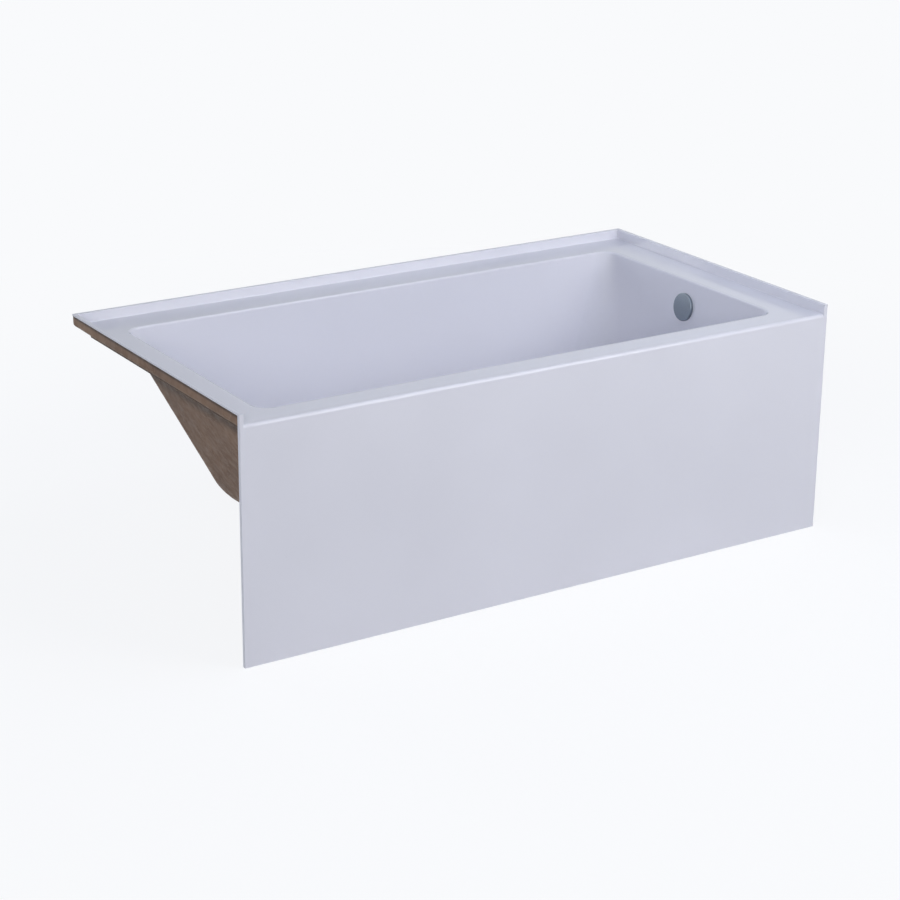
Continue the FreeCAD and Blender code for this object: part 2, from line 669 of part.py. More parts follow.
def leg_bars():
    """Two pressed hat sections across the underside of the base board."""
    for side, station in bar_stations():
        half = "bar_channel / 2"
        wide = "(bar_channel / 2 + bar_flange)"
        inner = "(bar_channel / 2 - bar_sheet)"
        ledge = "bar_height - bar_sheet"
        hat = (("-" + wide, "bar_height"), ("-" + wide, ledge), ("-" + half, ledge),
               ("-" + half, ZERO), (half, ZERO), (half, ledge), (wide, ledge),
               (wide, "bar_height"), (inner, "bar_height"), (inner, "bar_sheet"),
               ("-" + inner, "bar_sheet"), ("-" + inner, "bar_height"))
        bar = extruded(side + "_leg_bar_section", "XZ_Plane", hat, "bar_length", station,
                       BASIN_MIDDLE, UNDER_BAR)
        holes = [cylinder("%s_stud_hole" % name, "stud_radius + hole_clearance",
                          UNDER_BAR + " - bar_sheet", UNDER_BAR + " + 2 * bar_sheet", spot)
                 for name, spot in foot_spots() if name.endswith(side)]
        holes += [cylinder("%s_screw_hole_%d" % (side, number), "screw_radius + hole_clearance",
                           UNDER_BOARD + " - 2 * bar_sheet", UNDER_BOARD + " + bar_sheet", spot)
                  for number, spot in enumerate(screw_spots()) if station in spot[0]]
        yield cut(side + "_leg_bar", bar, fuse(side + "_bar_holes", *holes))


def leg_bar_screws():
    """Pan-head screws from below, through the bar flanges into the board."""
    screws = []
    seat = UNDER_BOARD + " - bar_sheet"
    for number, spot in enumerate(screw_spots()):
        head = cylinder("screw_head_%d" % number, "screw_head", seat + " - screw_head_height",
                        seat, spot)
        shank = cylinder("screw_shank_%d" % number, "screw_radius", seat,
                         UNDER_BOARD + " + screw_bite", spot)
        screws.append(fuse("screw_%d" % number, head, shank))
    return group("leg_bar_screws", screws)


def foot_studs():
    """The threaded studs of the four levelling feet."""
    for name, spot in foot_spots():
        yield cylinder(name + "_stud", "stud_radius", "stud_seat",
                       UNDER_BOARD + " - stud_top_gap", spot)


def foot_pads():
    """The moulded pads on the lower ends of the studs."""
    section = ((ZERO, ZERO), ("pad_radius", ZERO), ("pad_radius", "pad_rim"),
               ("pad_hub", "pad_height"), ("stud_radius", "pad_height"),
               ("stud_radius", "stud_seat"), (ZERO, "stud_seat"))
    for name, spot in foot_spots():
        yield turned(name + "_pad", section, spot[0], spot[1], ZERO)


def foot_lock_nuts():
    """A nut below and a nut above the channel on every stud."""
    nuts = []
    for name, spot in foot_spots():
        for place_name, level in (("lower", UNDER_BAR + " - nut_height"),
                                  ("upper", UNDER_BAR + " + bar_sheet")):
            blank = doc.addObject("Part::Prism", "%s_%s_nut_blank" % (name, place_name))
            blank.Polygon = 6
            bind(blank, "Circumradius", "nut_flats / 2 / cos(30 deg)")
            bind(blank, "Height", "nut_height")
            place(blank, spot[0], spot[1], level)
            bore = cylinder("%s_%s_nut_bore" % (name, place_name), "stud_radius + stud_clearance",
                            level, level + " + nut_height", spot)
            nuts.append(cut("%s_%s_nut" % (name, place_name), blank, bore))
    return group("foot_lock_nuts", nuts)


# ---------------------------------------------------------------- drain
def drain_ring(name, inner, outer, low, high):
    """A flat ring about the drain."""
    hole = cylinder(name + "_hole", inner, low, high, (DRAIN_X, BASIN_MIDDLE))
    return cut(name, cylinder(name + "_disc", outer, low, high, (DRAIN_X, BASIN_MIDDLE)), hole)


def drain_gasket():
    """The rubber ring between the laminate and the drain shoe."""
    return drain_ring("drain_gasket", GASKET_INNER_DRAIN, GASKET_OUTER_DRAIN, SHOE_TOP,
                      DRAIN_SEAT + " - " + SKIN)


def drain_strainer():
    """The flanged strainer that clamps the skins to the shoe, with its crossbar."""
    inner = "(barrel_radius - barrel_wall)"
    section = ((inner, "-barrel_length"), ("barrel_radius", "-barrel_length"),
               ("barrel_radius", ZERO), ("strainer_flange", ZERO),
               ("strainer_flange", "flange_thickness / 2"),
               ("strainer_flange - flange_thickness", "flange_thickness"),
               (inner, "flange_thickness"))
    flange = turned("strainer_turned_part", section, DRAIN_X, BASIN_MIDDLE, DRAIN_SEAT)
    bottom = DRAIN_SEAT + " - barrel_length"
    half = "crossbar_size / 2"
    reach = "(barrel_radius - barrel_wall / 2)"
    along = box("crossbar_along", (DRAIN_X + " - " + reach, BASIN_MIDDLE + " - " + half, bottom),
                (DRAIN_X + " + " + reach, BASIN_MIDDLE + " + " + half,
                 bottom + " + crossbar_size"))
    across = box("crossbar_across", (DRAIN_X + " - " + half, BASIN_MIDDLE + " - " + reach, bottom),
                 (DRAIN_X + " + " + half, BASIN_MIDDLE + " + " + reach,
                  bottom + " + crossbar_size"))
    boss = cylinder("crossbar_boss", "boss_radius", bottom, bottom + " + boss_height",
                    (DRAIN_X, BASIN_MIDDLE))
    bore = cylinder("crossbar_bore", "post_radius", bottom, bottom + " + boss_height",
                    (DRAIN_X, BASIN_MIDDLE))
    return cut("drain_strainer", fuse("strainer_blank", flange, along, across, boss), bore)


def drain_shoe():
    """The elbow under the drain, screwed up to the strainer."""
    cavity = "(barrel_radius + thread_gap)"
    drain = (DRAIN_X, BASIN_MIDDLE)
    flange = cylinder("shoe_flange_disc", GASKET_OUTER_DRAIN, SHOE_TOP + " - shoe_flange",
                      SHOE_TOP, drain)
    body = cylinder("shoe_body", cavity + " + fitting_wall", "shoe_axis", SHOE_TOP, drain)
    outlet = level_cylinder("shoe_outlet", SOCKET_OUTER, DRAIN_X, SHOE_MOUTH, BASIN_MIDDLE,
                            "shoe_axis")
    bottom = ball("shoe_bottom", cavity + " + fitting_wall", DRAIN_X, "shoe_axis")
    thread = cylinder("shoe_thread", cavity, "shoe_axis", SHOE_TOP, drain)
    well = ball("shoe_well", cavity, DRAIN_X, "shoe_axis")
    way = level_cylinder("shoe_way", WATERWAY, DRAIN_X, SHOE_MOUTH, BASIN_MIDDLE, "shoe_axis")
    socket = level_cylinder("shoe_socket", SOCKET_INNER, SHOE_MOUTH + " - tube_insert",
                            SHOE_MOUTH, BASIN_MIDDLE, "shoe_axis")
    return cut("drain_shoe", fuse("shoe_blank", flange, body, outlet, bottom),
               fuse("shoe_hollow", thread, well, way, socket))


def stopper_post():
    """The post screwed into the crossbar, on which the stopper slides."""
    return cylinder("stopper_post", "post_radius", DRAIN_SEAT + " - barrel_length",
                    CAP_UNDER + " - post_gap", (DRAIN_X, BASIN_MIDDLE))


def stopper_cap():
    """The domed cap that is pressed down to close the drain and lifts to open it."""
    bore = "(post_radius + post_clearance)"
    section = ((bore, "-hub_length"), ("hub_radius", "-hub_length"), ("hub_radius", ZERO),
               ("cap_radius", ZERO), ("cap_radius", "cap_edge / 2"),
               ("cap_radius - cap_edge / 2", "cap_edge"), ("cap_radius / 2", "cap_edge + cap_dome"),
               (ZERO, "cap_edge + cap_dome"), (ZERO, ZERO), (bore, ZERO))
    return turned("stopper_cap", section, DRAIN_X, BASIN_MIDDLE, CAP_UNDER)


def stopper_seal():
    """The rubber ring under the cap."""
    return drain_ring("stopper_seal", "hub_radius", "seal_radius", CAP_UNDER + " - seal_thickness",
                      CAP_UNDER)


# ---------------------------------------------------------------- overflow
def overflow_ring(name, inner, outer, start, end):
    """A flat ring square to the drain end."""
    return cut(name, overflow_rod(name + "_disc", outer, start, end),
               overflow_rod(name + "_hole", inner, start, end))


def overflow_box(name, low, high):
    """A box square to the drain end: triples of behind its face, across, and up its face."""
    block = doc.addObject("Part::Box", name)
    for prop, start, end in zip(("Length", "Width", "Height"), low, high):
        bind(block, prop, "(%s) - (%s)" % (end, start))
    turn(block, "end_angle")
    behind, across, up = low
    place(block,
          "%s + (%s) * cos(end_angle * 1 deg) + (%s) * sin(end_angle * 1 deg)"
          % (OVERFLOW_X, behind, up),
          "%s + %s" % (BASIN_MIDDLE, across),
          "%s - (%s) * sin(end_angle * 1 deg) + (%s) * cos(end_angle * 1 deg)"
          % (OVERFLOW_Z, behind, up))
    return block


def overflow_cover():
    """The plain cap pressed over the retaining ring, with a water slot in its lower rim."""
    hollow = overflow_rod("cover_hollow", "cover_radius - cover_sheet",
                          "cover_sheet - cover_depth", "-cover_gap")
    cup = cut("cover_cup", overflow_rod("cover_disc", "cover_radius", "-cover_depth",
                                        "-cover_gap"), hollow)
    slot = overflow_box("cover_slot", ("cover_sheet - cover_depth", "-cover_slot / 2",
                                       "-2 * cover_radius"),
                        ("cover_depth", "cover_slot / 2", "-cover_radius / 2"))
    return cut("overflow_cover", cup, slot)


def overflow_retaining_ring():
    """The ring screwed on the elbow's throat inside the basin."""
    return overflow_ring("overflow_retaining_ring", "throat_radius + thread_gap",
                         "cover_radius - cover_sheet - thread_gap", "-ring_thickness", ZERO)


def overflow_gasket():
    """The rubber ring between the laminate and the elbow."""
    return overflow_ring("overflow_gasket", "throat_radius + hole_clearance",
                         OVERFLOW_FLANGE, SKIN, SKIN + " + gasket_thickness")


def overflow_elbow():
    """The elbow behind the overflow: throat, flange, chamber and socket."""
    seat = SKIN + " + gasket_thickness"
    reach = "((%s - %s) / cos(end_angle * 1 deg))" % (RISER_X, OVERFLOW_X)
    bore = "(throat_radius - throat_wall)"
    flange = overflow_rod("elbow_flange", OVERFLOW_FLANGE, seat, seat + " + fitting_wall")
    throat = overflow_rod("elbow_throat", "throat_radius", "-ring_thickness", reach)
    way = overflow_rod("elbow_way", bore, "-ring_thickness", reach)
    knuckle = ball("elbow_knuckle", "throat_radius", RISER_X, ELBOW_Z)
    hollow = ball("elbow_hollow", bore, RISER_X, ELBOW_Z)
    riser = (RISER_X, BASIN_MIDDLE)
    leg = cylinder("elbow_leg", SOCKET_OUTER, ELBOW_MOUTH, ELBOW_Z, riser)
    drop = cylinder("elbow_drop_way", WATERWAY, ELBOW_MOUTH, ELBOW_Z, riser)
    socket = cylinder("elbow_socket", SOCKET_INNER, ELBOW_MOUTH, ELBOW_MOUTH + " + tube_insert",
                      riser)
    return cut("overflow_elbow", fuse("elbow_blank", flange, throat, knuckle, leg),
               fuse("elbow_ways", way, hollow, drop, socket))


def overflow_tube():
    """The riser between the elbow and the tee."""
    low = TEE_TOP + " - tube_insert"
    high = ELBOW_MOUTH + " + tube_insert"
    riser = (RISER_X, BASIN_MIDDLE)
    return cut("overflow_tube", cylinder("riser_outside", "tube_radius", low, high, riser),
               cylinder("riser_bore", WATERWAY, low, high, riser))


# ---------------------------------------------------------------- waste
def shoe_tube():
    """The level tube between the shoe and the tee."""
    start = SHOE_MOUTH + " - tube_insert"
    end = BRANCH_MOUTH + " + tube_insert"
    outside = level_cylinder("shoe_tube_outside", "tube_radius", start, end, BASIN_MIDDLE,
                             "shoe_axis")
    bore = level_cylinder("shoe_tube_bore", WATERWAY, start, end, BASIN_MIDDLE, "shoe_axis")
    return cut("shoe_tube", outside, bore)


def waste_tee():
    """The tee that joins the drain and the overflow, with its plain outlet spigot."""
    riser = (RISER_X, BASIN_MIDDLE)
    barrel = cylinder("tee_barrel", SOCKET_OUTER, "shoe_axis - " + SOCKET_OUTER, TEE_TOP, riser)
    branch = level_cylinder("tee_branch", SOCKET_OUTER, BRANCH_MOUTH, RISER_X, BASIN_MIDDLE,
                            "shoe_axis")
    spigot = cylinder("tee_spigot", "tube_radius", "outlet_gap", "shoe_axis", riser)
    upright = cylinder("tee_way", WATERWAY, "outlet_gap", TEE_TOP, riser)
    side = level_cylinder("tee_side_way", WATERWAY, BRANCH_MOUTH, RISER_X, BASIN_MIDDLE,
                          "shoe_axis")
    top_socket = cylinder("tee_top_socket", SOCKET_INNER, TEE_TOP + " - tube_insert", TEE_TOP,
                          riser)
    side_socket = level_cylinder("tee_side_socket", SOCKET_INNER, BRANCH_MOUTH,
                                 BRANCH_MOUTH + " + tube_insert", BASIN_MIDDLE, "shoe_axis")
    return cut("waste_tee", fuse("tee_blank", barrel, branch, spigot),
               fuse("tee_ways", upright, side, top_socket, side_socket))


def slip_joint(name, mouth, sign, level):
    """The nut and washer that seal a tube in a socket that opens towards +axis or -axis."""
    beyond = "(washer_length + slip_lip)"

    def span(inner, outer):
        if sign > 0:
            return "%s + (%s)" % (mouth, inner), "%s + (%s)" % (mouth, outer)
        return "%s - (%s)" % (mouth, outer), "%s - (%s)" % (mouth, inner)

    def rod(piece, radius, inner, outer):
        start, end = span(inner, outer)
        if level:
            return level_cylinder(piece, radius, start, end, BASIN_MIDDLE, "shoe_axis")
        return cylinder(piece, radius, start, end, (RISER_X, BASIN_MIDDLE))

    start, end = span("-" + NUT_OVERLAP, beyond)
    blank = doc.addObject("Part::Prism", name + "_nut_blank")
    blank.Polygon = 8
    bind(blank, "Circumradius", "(%s + slip_wall) / cos(22.5 deg)" % SOCKET_OUTER)
    bind(blank, "Height", "slip_length")
    if level:
        turn(blank, "90")
        place(blank, start, BASIN_MIDDLE, "shoe_axis")
    else:
        place(blank, RISER_X, BASIN_MIDDLE, start)
    thread = rod(name + "_nut_thread", SOCKET_OUTER + " + thread_gap", "-" + NUT_OVERLAP,
                 "washer_length")
    opening = rod(name + "_nut_opening", "tube_radius + hole_clearance", "-" + NUT_OVERLAP, beyond)
    yield cut(name + "_slip_nut", blank, thread, opening)
    yield cut(name + "_slip_washer",
              rod(name + "_washer_disc", SOCKET_OUTER, ZERO, "washer_length"),
              rod(name + "_washer_hole", "tube_radius + thread_gap", ZERO, "washer_length"))


# ---------------------------------------------------------------- build and write
joint_form = mould("joint_form", "acrylic_wall", True, "floor_fall")
nodes = [acrylic_shell(joint_form), fibreglass_backing(joint_form)]
nodes += [base_board(), apron_foot_rail()]
nodes += rim_battens()
nodes += apron_braces()
nodes += leg_bars()
nodes += [leg_bar_screws(), foot_lock_nuts()]
nodes += foot_studs()
nodes += foot_pads()
nodes += [drain_gasket(), drain_strainer(), drain_shoe()]
nodes += [stopper_post(), stopper_cap(), stopper_seal()]
nodes += [overflow_cover(), overflow_retaining_ring(), overflow_gasket(), overflow_elbow()]
nodes += [overflow_tube(), shoe_tube(), waste_tee()]
nodes += slip_joint("elbow", ELBOW_MOUTH, -1, False)
nodes += slip_joint("riser", TEE_TOP, 1, False)
nodes += slip_joint("branch", BRANCH_MOUTH, -1, True)
nodes += slip_joint("shoe", SHOE_MOUTH, 1, True)
doc.recompute()

broken = [item.Name for item in doc.Objects if "Invalid" in item.State or "Error" in item.State]
broken += [node.Name for node in nodes if node.Shape.isNull() or not node.Shape.isValid()]
if broken:
    raise RuntimeError("these objects did not build: " + ", ".join(broken))

os.makedirs("parts", exist_ok=True)
for node in nodes:
    node.Label = node.Name
    node.Shape.exportStep("parts/%s.step" % node.Label)
    print("%-26s %2d solids %12.1f mm3" % (node.Label, len(node.Shape.Solids), node.Shape.Volume))
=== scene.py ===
"""Looks of an alcove bathtub: acrylic sheet, laminate, timber, steel and waste fittings."""
import json
import math

import bmesh
import bpy
from bpy.props import FloatProperty, FloatVectorProperty, IntProperty, PointerProperty
from mathutils import Matrix, Vector

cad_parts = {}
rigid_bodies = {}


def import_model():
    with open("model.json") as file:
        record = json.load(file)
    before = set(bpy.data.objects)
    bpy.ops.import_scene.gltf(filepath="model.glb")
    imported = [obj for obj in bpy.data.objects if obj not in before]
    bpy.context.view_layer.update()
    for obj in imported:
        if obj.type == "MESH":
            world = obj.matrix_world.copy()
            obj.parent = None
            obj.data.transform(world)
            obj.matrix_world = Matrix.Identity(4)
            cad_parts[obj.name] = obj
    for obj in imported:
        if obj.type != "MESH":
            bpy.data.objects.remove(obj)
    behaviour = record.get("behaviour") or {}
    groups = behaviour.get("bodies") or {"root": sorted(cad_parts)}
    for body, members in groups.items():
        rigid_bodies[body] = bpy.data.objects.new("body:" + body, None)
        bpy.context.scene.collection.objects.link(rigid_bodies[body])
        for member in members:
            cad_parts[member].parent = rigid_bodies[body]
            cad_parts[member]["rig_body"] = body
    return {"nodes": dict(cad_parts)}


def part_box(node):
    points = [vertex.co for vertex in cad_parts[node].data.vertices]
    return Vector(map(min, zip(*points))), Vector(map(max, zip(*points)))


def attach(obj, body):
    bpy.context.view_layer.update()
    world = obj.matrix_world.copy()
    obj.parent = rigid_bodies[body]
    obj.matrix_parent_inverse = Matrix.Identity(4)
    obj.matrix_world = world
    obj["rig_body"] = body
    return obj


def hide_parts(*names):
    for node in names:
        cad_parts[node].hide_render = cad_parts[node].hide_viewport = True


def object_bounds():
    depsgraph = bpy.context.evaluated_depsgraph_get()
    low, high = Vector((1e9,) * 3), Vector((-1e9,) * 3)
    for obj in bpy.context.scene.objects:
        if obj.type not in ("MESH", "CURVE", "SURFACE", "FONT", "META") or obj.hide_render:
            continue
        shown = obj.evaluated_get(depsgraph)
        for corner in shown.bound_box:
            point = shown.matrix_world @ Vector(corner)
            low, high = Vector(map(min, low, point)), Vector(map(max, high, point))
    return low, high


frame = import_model()
CAD_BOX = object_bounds()

bl_info = {
    "name": "Alcove Bathtub",
    "version": (1, 0, 0),
    "blender": (4, 5, 0),
    "location": "3D View > Sidebar > Bathtub",
    "description": "Dresses the solids of an alcove bathtub in their real finishes",
    "category": "Object",
}

MM = 0.001
FULL_TURN = 2 * math.pi
SIXTH = FULL_TURN / 6
MERGE = 0.005 * MM                  # corners closer than this are one corner
SMOOTH_ANGLE = math.radians(32)     # a blunter edge is shaded smooth
FLAT_ANGLE = math.radians(0.4)      # triangles that meet flatter than this are one face
NUT_CONE = math.radians(30)         # slope of the chamfer on a nut's corners
FEET = ("front_left", "front_right", "back_left", "back_right")
SLIP_JOINTS = ("elbow", "riser", "branch", "shoe")
SOFT_BOXES = {                      # place and width in metres, power in watts, colour
    "left_lamp": ((-4.0, -4.4, 2.7), 2.5, 118, "#FFFFFF"),
    "right_lamp": ((4.5, -4.0, 2.7), 2.5, 38, "#FFFFFF"),
    "apron_lamp": ((1.6, -3.0, 2.2), 1.6, 41, "#FFFFFF"),
    "basin_lamp": ((0.8, -0.7, 2.6), 1.0, 12, "#E2EBFF"),
    "back_lamp": ((-1.3, 4.0, 1.0), 1.8, 50, "#FFFFFF"),
}
PIECES = ("sheet", "laminate", "timber", "leg_bars", "screws", "feet", "overflow", "drain",
          "waste", "stage")


def linear(hex_colour):
    """A linear colour from an sRGB hex value."""
    parts = [int(hex_colour[start:start + 2], 16) / 255 for start in (1, 3, 5)]
    return tuple(part / 12.92 if part <= 0.04045 else ((part + 0.055) / 1.055) ** 2.4
                 for part in parts)


def paint(colour):
    """A hex value or a linear colour, with its alpha, as a colour socket takes it."""
    return (*(linear(colour) if isinstance(colour, str) else tuple(colour)[:3]), 1.0)


def toned(colour, share):
    """A linear colour made darker or lighter."""
    return tuple(part * share for part in colour)


def per(size_mm):
    """The scale of a pattern whose marks are this many millimetres apart."""
    return 1000 / size_mm


def length(name, description, size_mm):
    """A length that a user can change, given in millimetres."""
    return FloatProperty(name=name, description=description, default=size_mm * MM, min=0,
                         precision=5, unit="LENGTH")


def tilt(name, description, degrees):
    """An angle that a user can change, given in degrees."""
    return FloatProperty(name=name, description=description, default=math.radians(degrees),
                         subtype="ANGLE")


def fraction(name, description, share):
    """A share of one that a user can change."""
    return FloatProperty(name=name, description=description, default=share, min=0, max=1,
                         subtype="FACTOR")


def amount(name, description, number):
    """A number from nought up that a user can change."""
    return FloatProperty(name=name, description=description, default=number, min=0)


def colour(name, description, hex_colour):
    """A colour that a user can change, given as sRGB."""
    return FloatVectorProperty(name=name, description=description, subtype="COLOR", size=3,
                               min=0, max=1, default=linear(hex_colour))


# ---------------------------------------------------------------- sizes and colours
class AcrylicLook(bpy.types.PropertyGroup):
    """The formed acrylic sheet."""

    body: colour("Body", "Colour of the sheet where it is thick", "#EAEAF2")
    thin: colour("Thin", "Colour of the sheet where forming has thinned it", "#E3E3EB")
    haze: fraction("Haze", "Roughness of the gloss face", 0.07)
    wave: length("Wave", "Width of the soft waves left by forming", 70)
    wave_depth: length("Wave Depth", "Depth of those waves", 0.2)


class LaminateLook(bpy.types.PropertyGroup):
    """The sprayed fibreglass laminate behind the sheet."""

    thick: colour("Thick Resin", "Filled resin where it lies thick", "#957963")
    thin: colour("Thin Resin", "Filled resin where it lies thin", "#7B6352")
    glass: colour("Glass", "Wetted glass strands", "#9C8470")
    # Painted shade: this dark colour stands for the shadow line under the flange's edge and the
    # shade in the corner under the deck.
    trapped: colour("Painted Shade", "Thin dark resin where the roller does not reach", "#40362F")
    wall: length("Wall", "Thickness of the laminate", 5)
    # Painted shade: how far below the deck the painted corner shade reaches.
    corner: length("Corner", "Height of the dark corner under the deck", 122)
    cell: length("Cell", "Spacing of the cuts that let the face swell", 24)
    lump: length("Lump Height", "How far the sprayed face swells", 1.2)
    strand_length: length("Strand Length", "Length of a chopped strand", 30)
    strand_width: length("Strand Width", "Width of a chopped strand", 0.8)
    strands: amount("Strands", "Strands that stand proud, per square metre", 1200)
    seed: IntProperty(name="Seed", description="Order in which the strands fall", default=7)


class TimberLook(bpy.types.PropertyGroup):
    """Battens, rail, braces and base board."""

    early: colour("Early Wood", "Pale band of a growth ring", "#D9BB8A")
    late: colour("Late Wood", "Dark band of a growth ring", "#B48650")
    veneer: colour("Veneer", "Face of the plywood", "#CDAF82")
    glue: colour("Glue Line", "End grain and glue on the plywood's edge", "#8C6A42")
    ring: length("Ring", "Width of a growth ring", 3.2)
    ply: length("Ply", "Two veneers of the plywood", 3.2)
    easing: length("Easing", "Round along the sawn edges", 1.2)


class LegBarLook(bpy.types.PropertyGroup):
    """The pressed leg bars."""

    zinc: colour("Zinc", "Hot-dip zinc", "#B9BDC0")
    spangle: length("Spangle", "Width of a zinc crystal", 9)
    channel: length("Channel", "Outside width of the channel", 34)
    flange: length("Flange", "Flange on each side of the channel", 18)
    sheet: length("Sheet", "Thickness of the steel", 2.5)
    bend: length("Bend", "Round at each bend, along the middle of the sheet", 3.5)
    easing: length("Easing", "Round along the cut edges", 0.35)


class ScrewLook(bpy.types.PropertyGroup):
    """The leg bar screws."""

    head: length("Head", "Radius of the pan head", 4.5)
    head_height: length("Head Height", "Height of the pan head", 3)
    core: length("Core", "Radius under the thread", 1.55)
    thread: length("Thread", "Depth of the thread", 0.42)
    pitch: length("Pitch", "Spacing of the thread", 1.8)
    point: length("Point", "Length of the tapered point", 3)
    recess: length("Recess", "Depth of the cross recess", 1.5)
    recess_width: length("Recess Width", "Width of each slot of the recess", 1)


class FootLook(bpy.types.PropertyGroup):
    """Levelling studs, lock nuts and foot pads."""

    thread: length("Thread", "Depth of the stud's thread", 0.5)
    pitch: length("Pitch", "Spacing of the stud's thread", 1.5)
    nut_flats: length("Nut Flats", "Lock nut across its flats", 17)
    nut_height: length("Nut Height", "Height of a lock nut", 8)
    nut_bore: length("Nut Bore", "Radius of a lock nut's bore", 5.06)
    nut_chamfer: length("Nut Chamfer", "Chamfer at the mouth of the bore", 0.5)
    pad_rim: length("Pad Rim", "Height of a pad at its edge", 5)
    pad_hub: length("Pad Hub", "Radius of a pad's hub", 11)
    pad_seat: length("Pad Seat", "Height of the stud's end inside the pad", 4)
    rib_length: length("Rib Length", "Ribs of a pad, from the hub outwards", 15)
    rib_width: length("Rib Width", "Width of a pad's ribs", 2.2)
    rib_height: length("Rib Height", "Height of a pad's ribs", 9)
    ribs: IntProperty(name="Ribs", description="Ribs round a pad's hub", default=8, min=3)


class OverflowLook(bpy.types.PropertyGroup):
    """The overflow's plain cover."""

    nickel: colour("Nickel", "Brushed nickel plate", "#8F99A2")
    sheet: length("Sheet", "Thickness of the cover's metal", 1.5)
    depth: length("Depth", "Cover's face off the wall", 7)
    gap: length("Gap", "Cover's rim off the wall", 0.5)
    slot: length("Slot", "Water slot at the foot of the cover", 24)
    edge: length("Edge", "Round along the cover's face", 1.4)
    lean: tilt("Lean", "Drain end of the basin from upright", 7)


class DrainLook(bpy.types.PropertyGroup):
    """The domed stopper."""

    bore: length("Bore", "Radius of the stopper's bore", 4.85)
    hub: length("Hub", "Radius of the stopper's hub", 8)
    hub_length: length("Hub Length", "Hub below the cap", 22)
    shoulder: length("Shoulder", "Width of the cap's rounded shoulder", 3)


class WasteLook(bpy.types.PropertyGroup):
    """Waste fittings and their slip nuts."""

    plastic: colour("Plastic", "Black of the moulded fittings", "#1E1F22")
    nut_outer: length("Nut Outside", "Radius of a slip nut under its ribs", 27.3)
    nut_thread: length("Nut Thread", "Radius of a slip nut's threaded bore", 23.25)
    nut_bore: length("Nut Bore", "Radius of a slip nut's end hole", 19.65)
    nut_length: length("Nut Length", "Length of a slip nut", 20)
    nut_cap: length("Nut Cap", "Slip nut beyond its socket", 8)
    nut_end: length("Nut End", "Thickness of a slip nut's end", 4)
    rib: length("Rib", "Thickness of a finger rib", 2.6)
    ribs: IntProperty(name="Ribs", description="Finger ribs round a slip nut", default=24,
                      min=6)
    easing: length("Easing", "Round along moulded edges", 0.6)


class StageLook(bpy.types.PropertyGroup):
    """Camera, lamps and floor."""

    azimuth: tilt("Azimuth", "Camera turn from the apron's normal", -32.56)
    elevation: tilt("Elevation", "Camera above the horizon", 19.92)
    roll: tilt("Roll", "Camera tilt about its own axis", 0.545)
    camera_place: FloatVectorProperty(
        name="Camera Place", description="Where the lens stands", size=3, unit="LENGTH",
        default=(-2.7193, -4.2449, 2.0361))
    lens: amount("Lens", "Focal length on a 36 mm sensor, in millimetres", 92.03)
    backdrop: colour("Backdrop", "Colour of the empty background", "#F9FAFC")
    floor: colour("Floor", "Body colour of the floor, which throws light back up", "#CBCBCF")
    shadow_share: fraction("Shadow Share", "How much of the floor's look is its own shade", 0.13)
    open_floor: amount("Open Floor", "How brightly the lamps light the floor in the open", 0.65)
    shadow_reach: length("Shadow Reach", "Distance over which the tub's shade fades out", 2600)
    floor_reach: length("Floor Reach", "Half the floor's side", 30000)
    lamp_level: amount("Lamp Level", "Brightness of all the soft boxes together", 1)
    room: colour("Room Light", "Tint of the light from all round", "#D4E2FF")
    even_light: amount("Even Light", "Strength of the light from all round", 0.13)
    side_light: amount("Side Light", "Further strength towards the bright side", 0.5)
    bright_side: FloatVectorProperty(
        name="Bright Side", description="Where the room's own light is strongest", size=3,
        subtype="DIRECTION", default=(-0.4, 0.9, 0.0))


class BathtubLook(bpy.types.PropertyGroup):
    """All the groups together."""

    acrylic: PointerProperty(type=AcrylicLook)
    laminate: PointerProperty(type=LaminateLook)
    timber: PointerProperty(type=TimberLook)
    leg_bar: PointerProperty(type=LegBarLook)
    screw: PointerProperty(type=ScrewLook)
    foot: PointerProperty(type=FootLook)
    overflow: PointerProperty(type=OverflowLook)
    drain: PointerProperty(type=DrainLook)
    waste: PointerProperty(type=WasteLook)
    stage: PointerProperty(type=StageLook)


# ---------------------------------------------------------------- trees
def add(tree, kind, inputs=None, **settings):
    """A node with its settings. An input takes a value, a socket, a node whose first output
    it reads, or a list of sources to join."""
    made = tree.nodes.new(kind)
    for name, value in settings.items():
        setattr(made, name, value)
    for name, value in (inputs or {}).items():
        socket = made.inputs[name] if isinstance(name, int) else next(
            one for one in made.inputs if one.name == name and one.enabled)
        for source in value if isinstance(value, list) else [value]:
            if isinstance(source, bpy.types.Node):
                source = next(one for one in source.outputs if one.enabled)
            if isinstance(source, bpy.types.NodeSocket):
                tree.links.new(source, socket)
            else:
                socket.default_value = source
    return made


def finish(build):
    """The material that a function describes, made the first time a piece asks for it."""
    material = bpy.data.materials.get(build.__name__)
    if material is None:
        material = bpy.data.materials.new(build.__name__)
        material.use_nodes = True
        tree = material.node_tree
        tree.nodes.clear()
        place = add(tree, "ShaderNodeTexCoord").outputs["Object"]
        shader = add(tree, "ShaderNodeBsdfPrincipled",
                     build(tree, place, bpy.context.scene.bathtub))
        add(tree, "ShaderNodeOutputMaterial", {"Surface": shader})
    return material


# ---------------------------------------------------------------- materials
def stained(tree, under, over, pattern, low, high, most=1.0):
    """A colour under another that shows, up to a share, as a pattern goes from low to high."""
    rise = add(tree, "ShaderNodeMapRange", {
        "Value": pattern, "From Min": low, "From Max": high, "To Max": most})
    return add(tree, "ShaderNodeMix", {"Factor": rise, "A": under, "B": over},
               data_type="RGBA")


def grained(tree, place, grain_mm, depth_mm, detail=2.0, **over):
    """A face with a random grain of a size and a depth in millimetres."""
    grain = add(tree, "ShaderNodeTexNoise", {
        "Vector": place, "Scale": per(grain_mm), "Detail": detail})
    return add(tree, "ShaderNodeBump", {"Height": grain, "Distance": depth_mm * MM, **over})


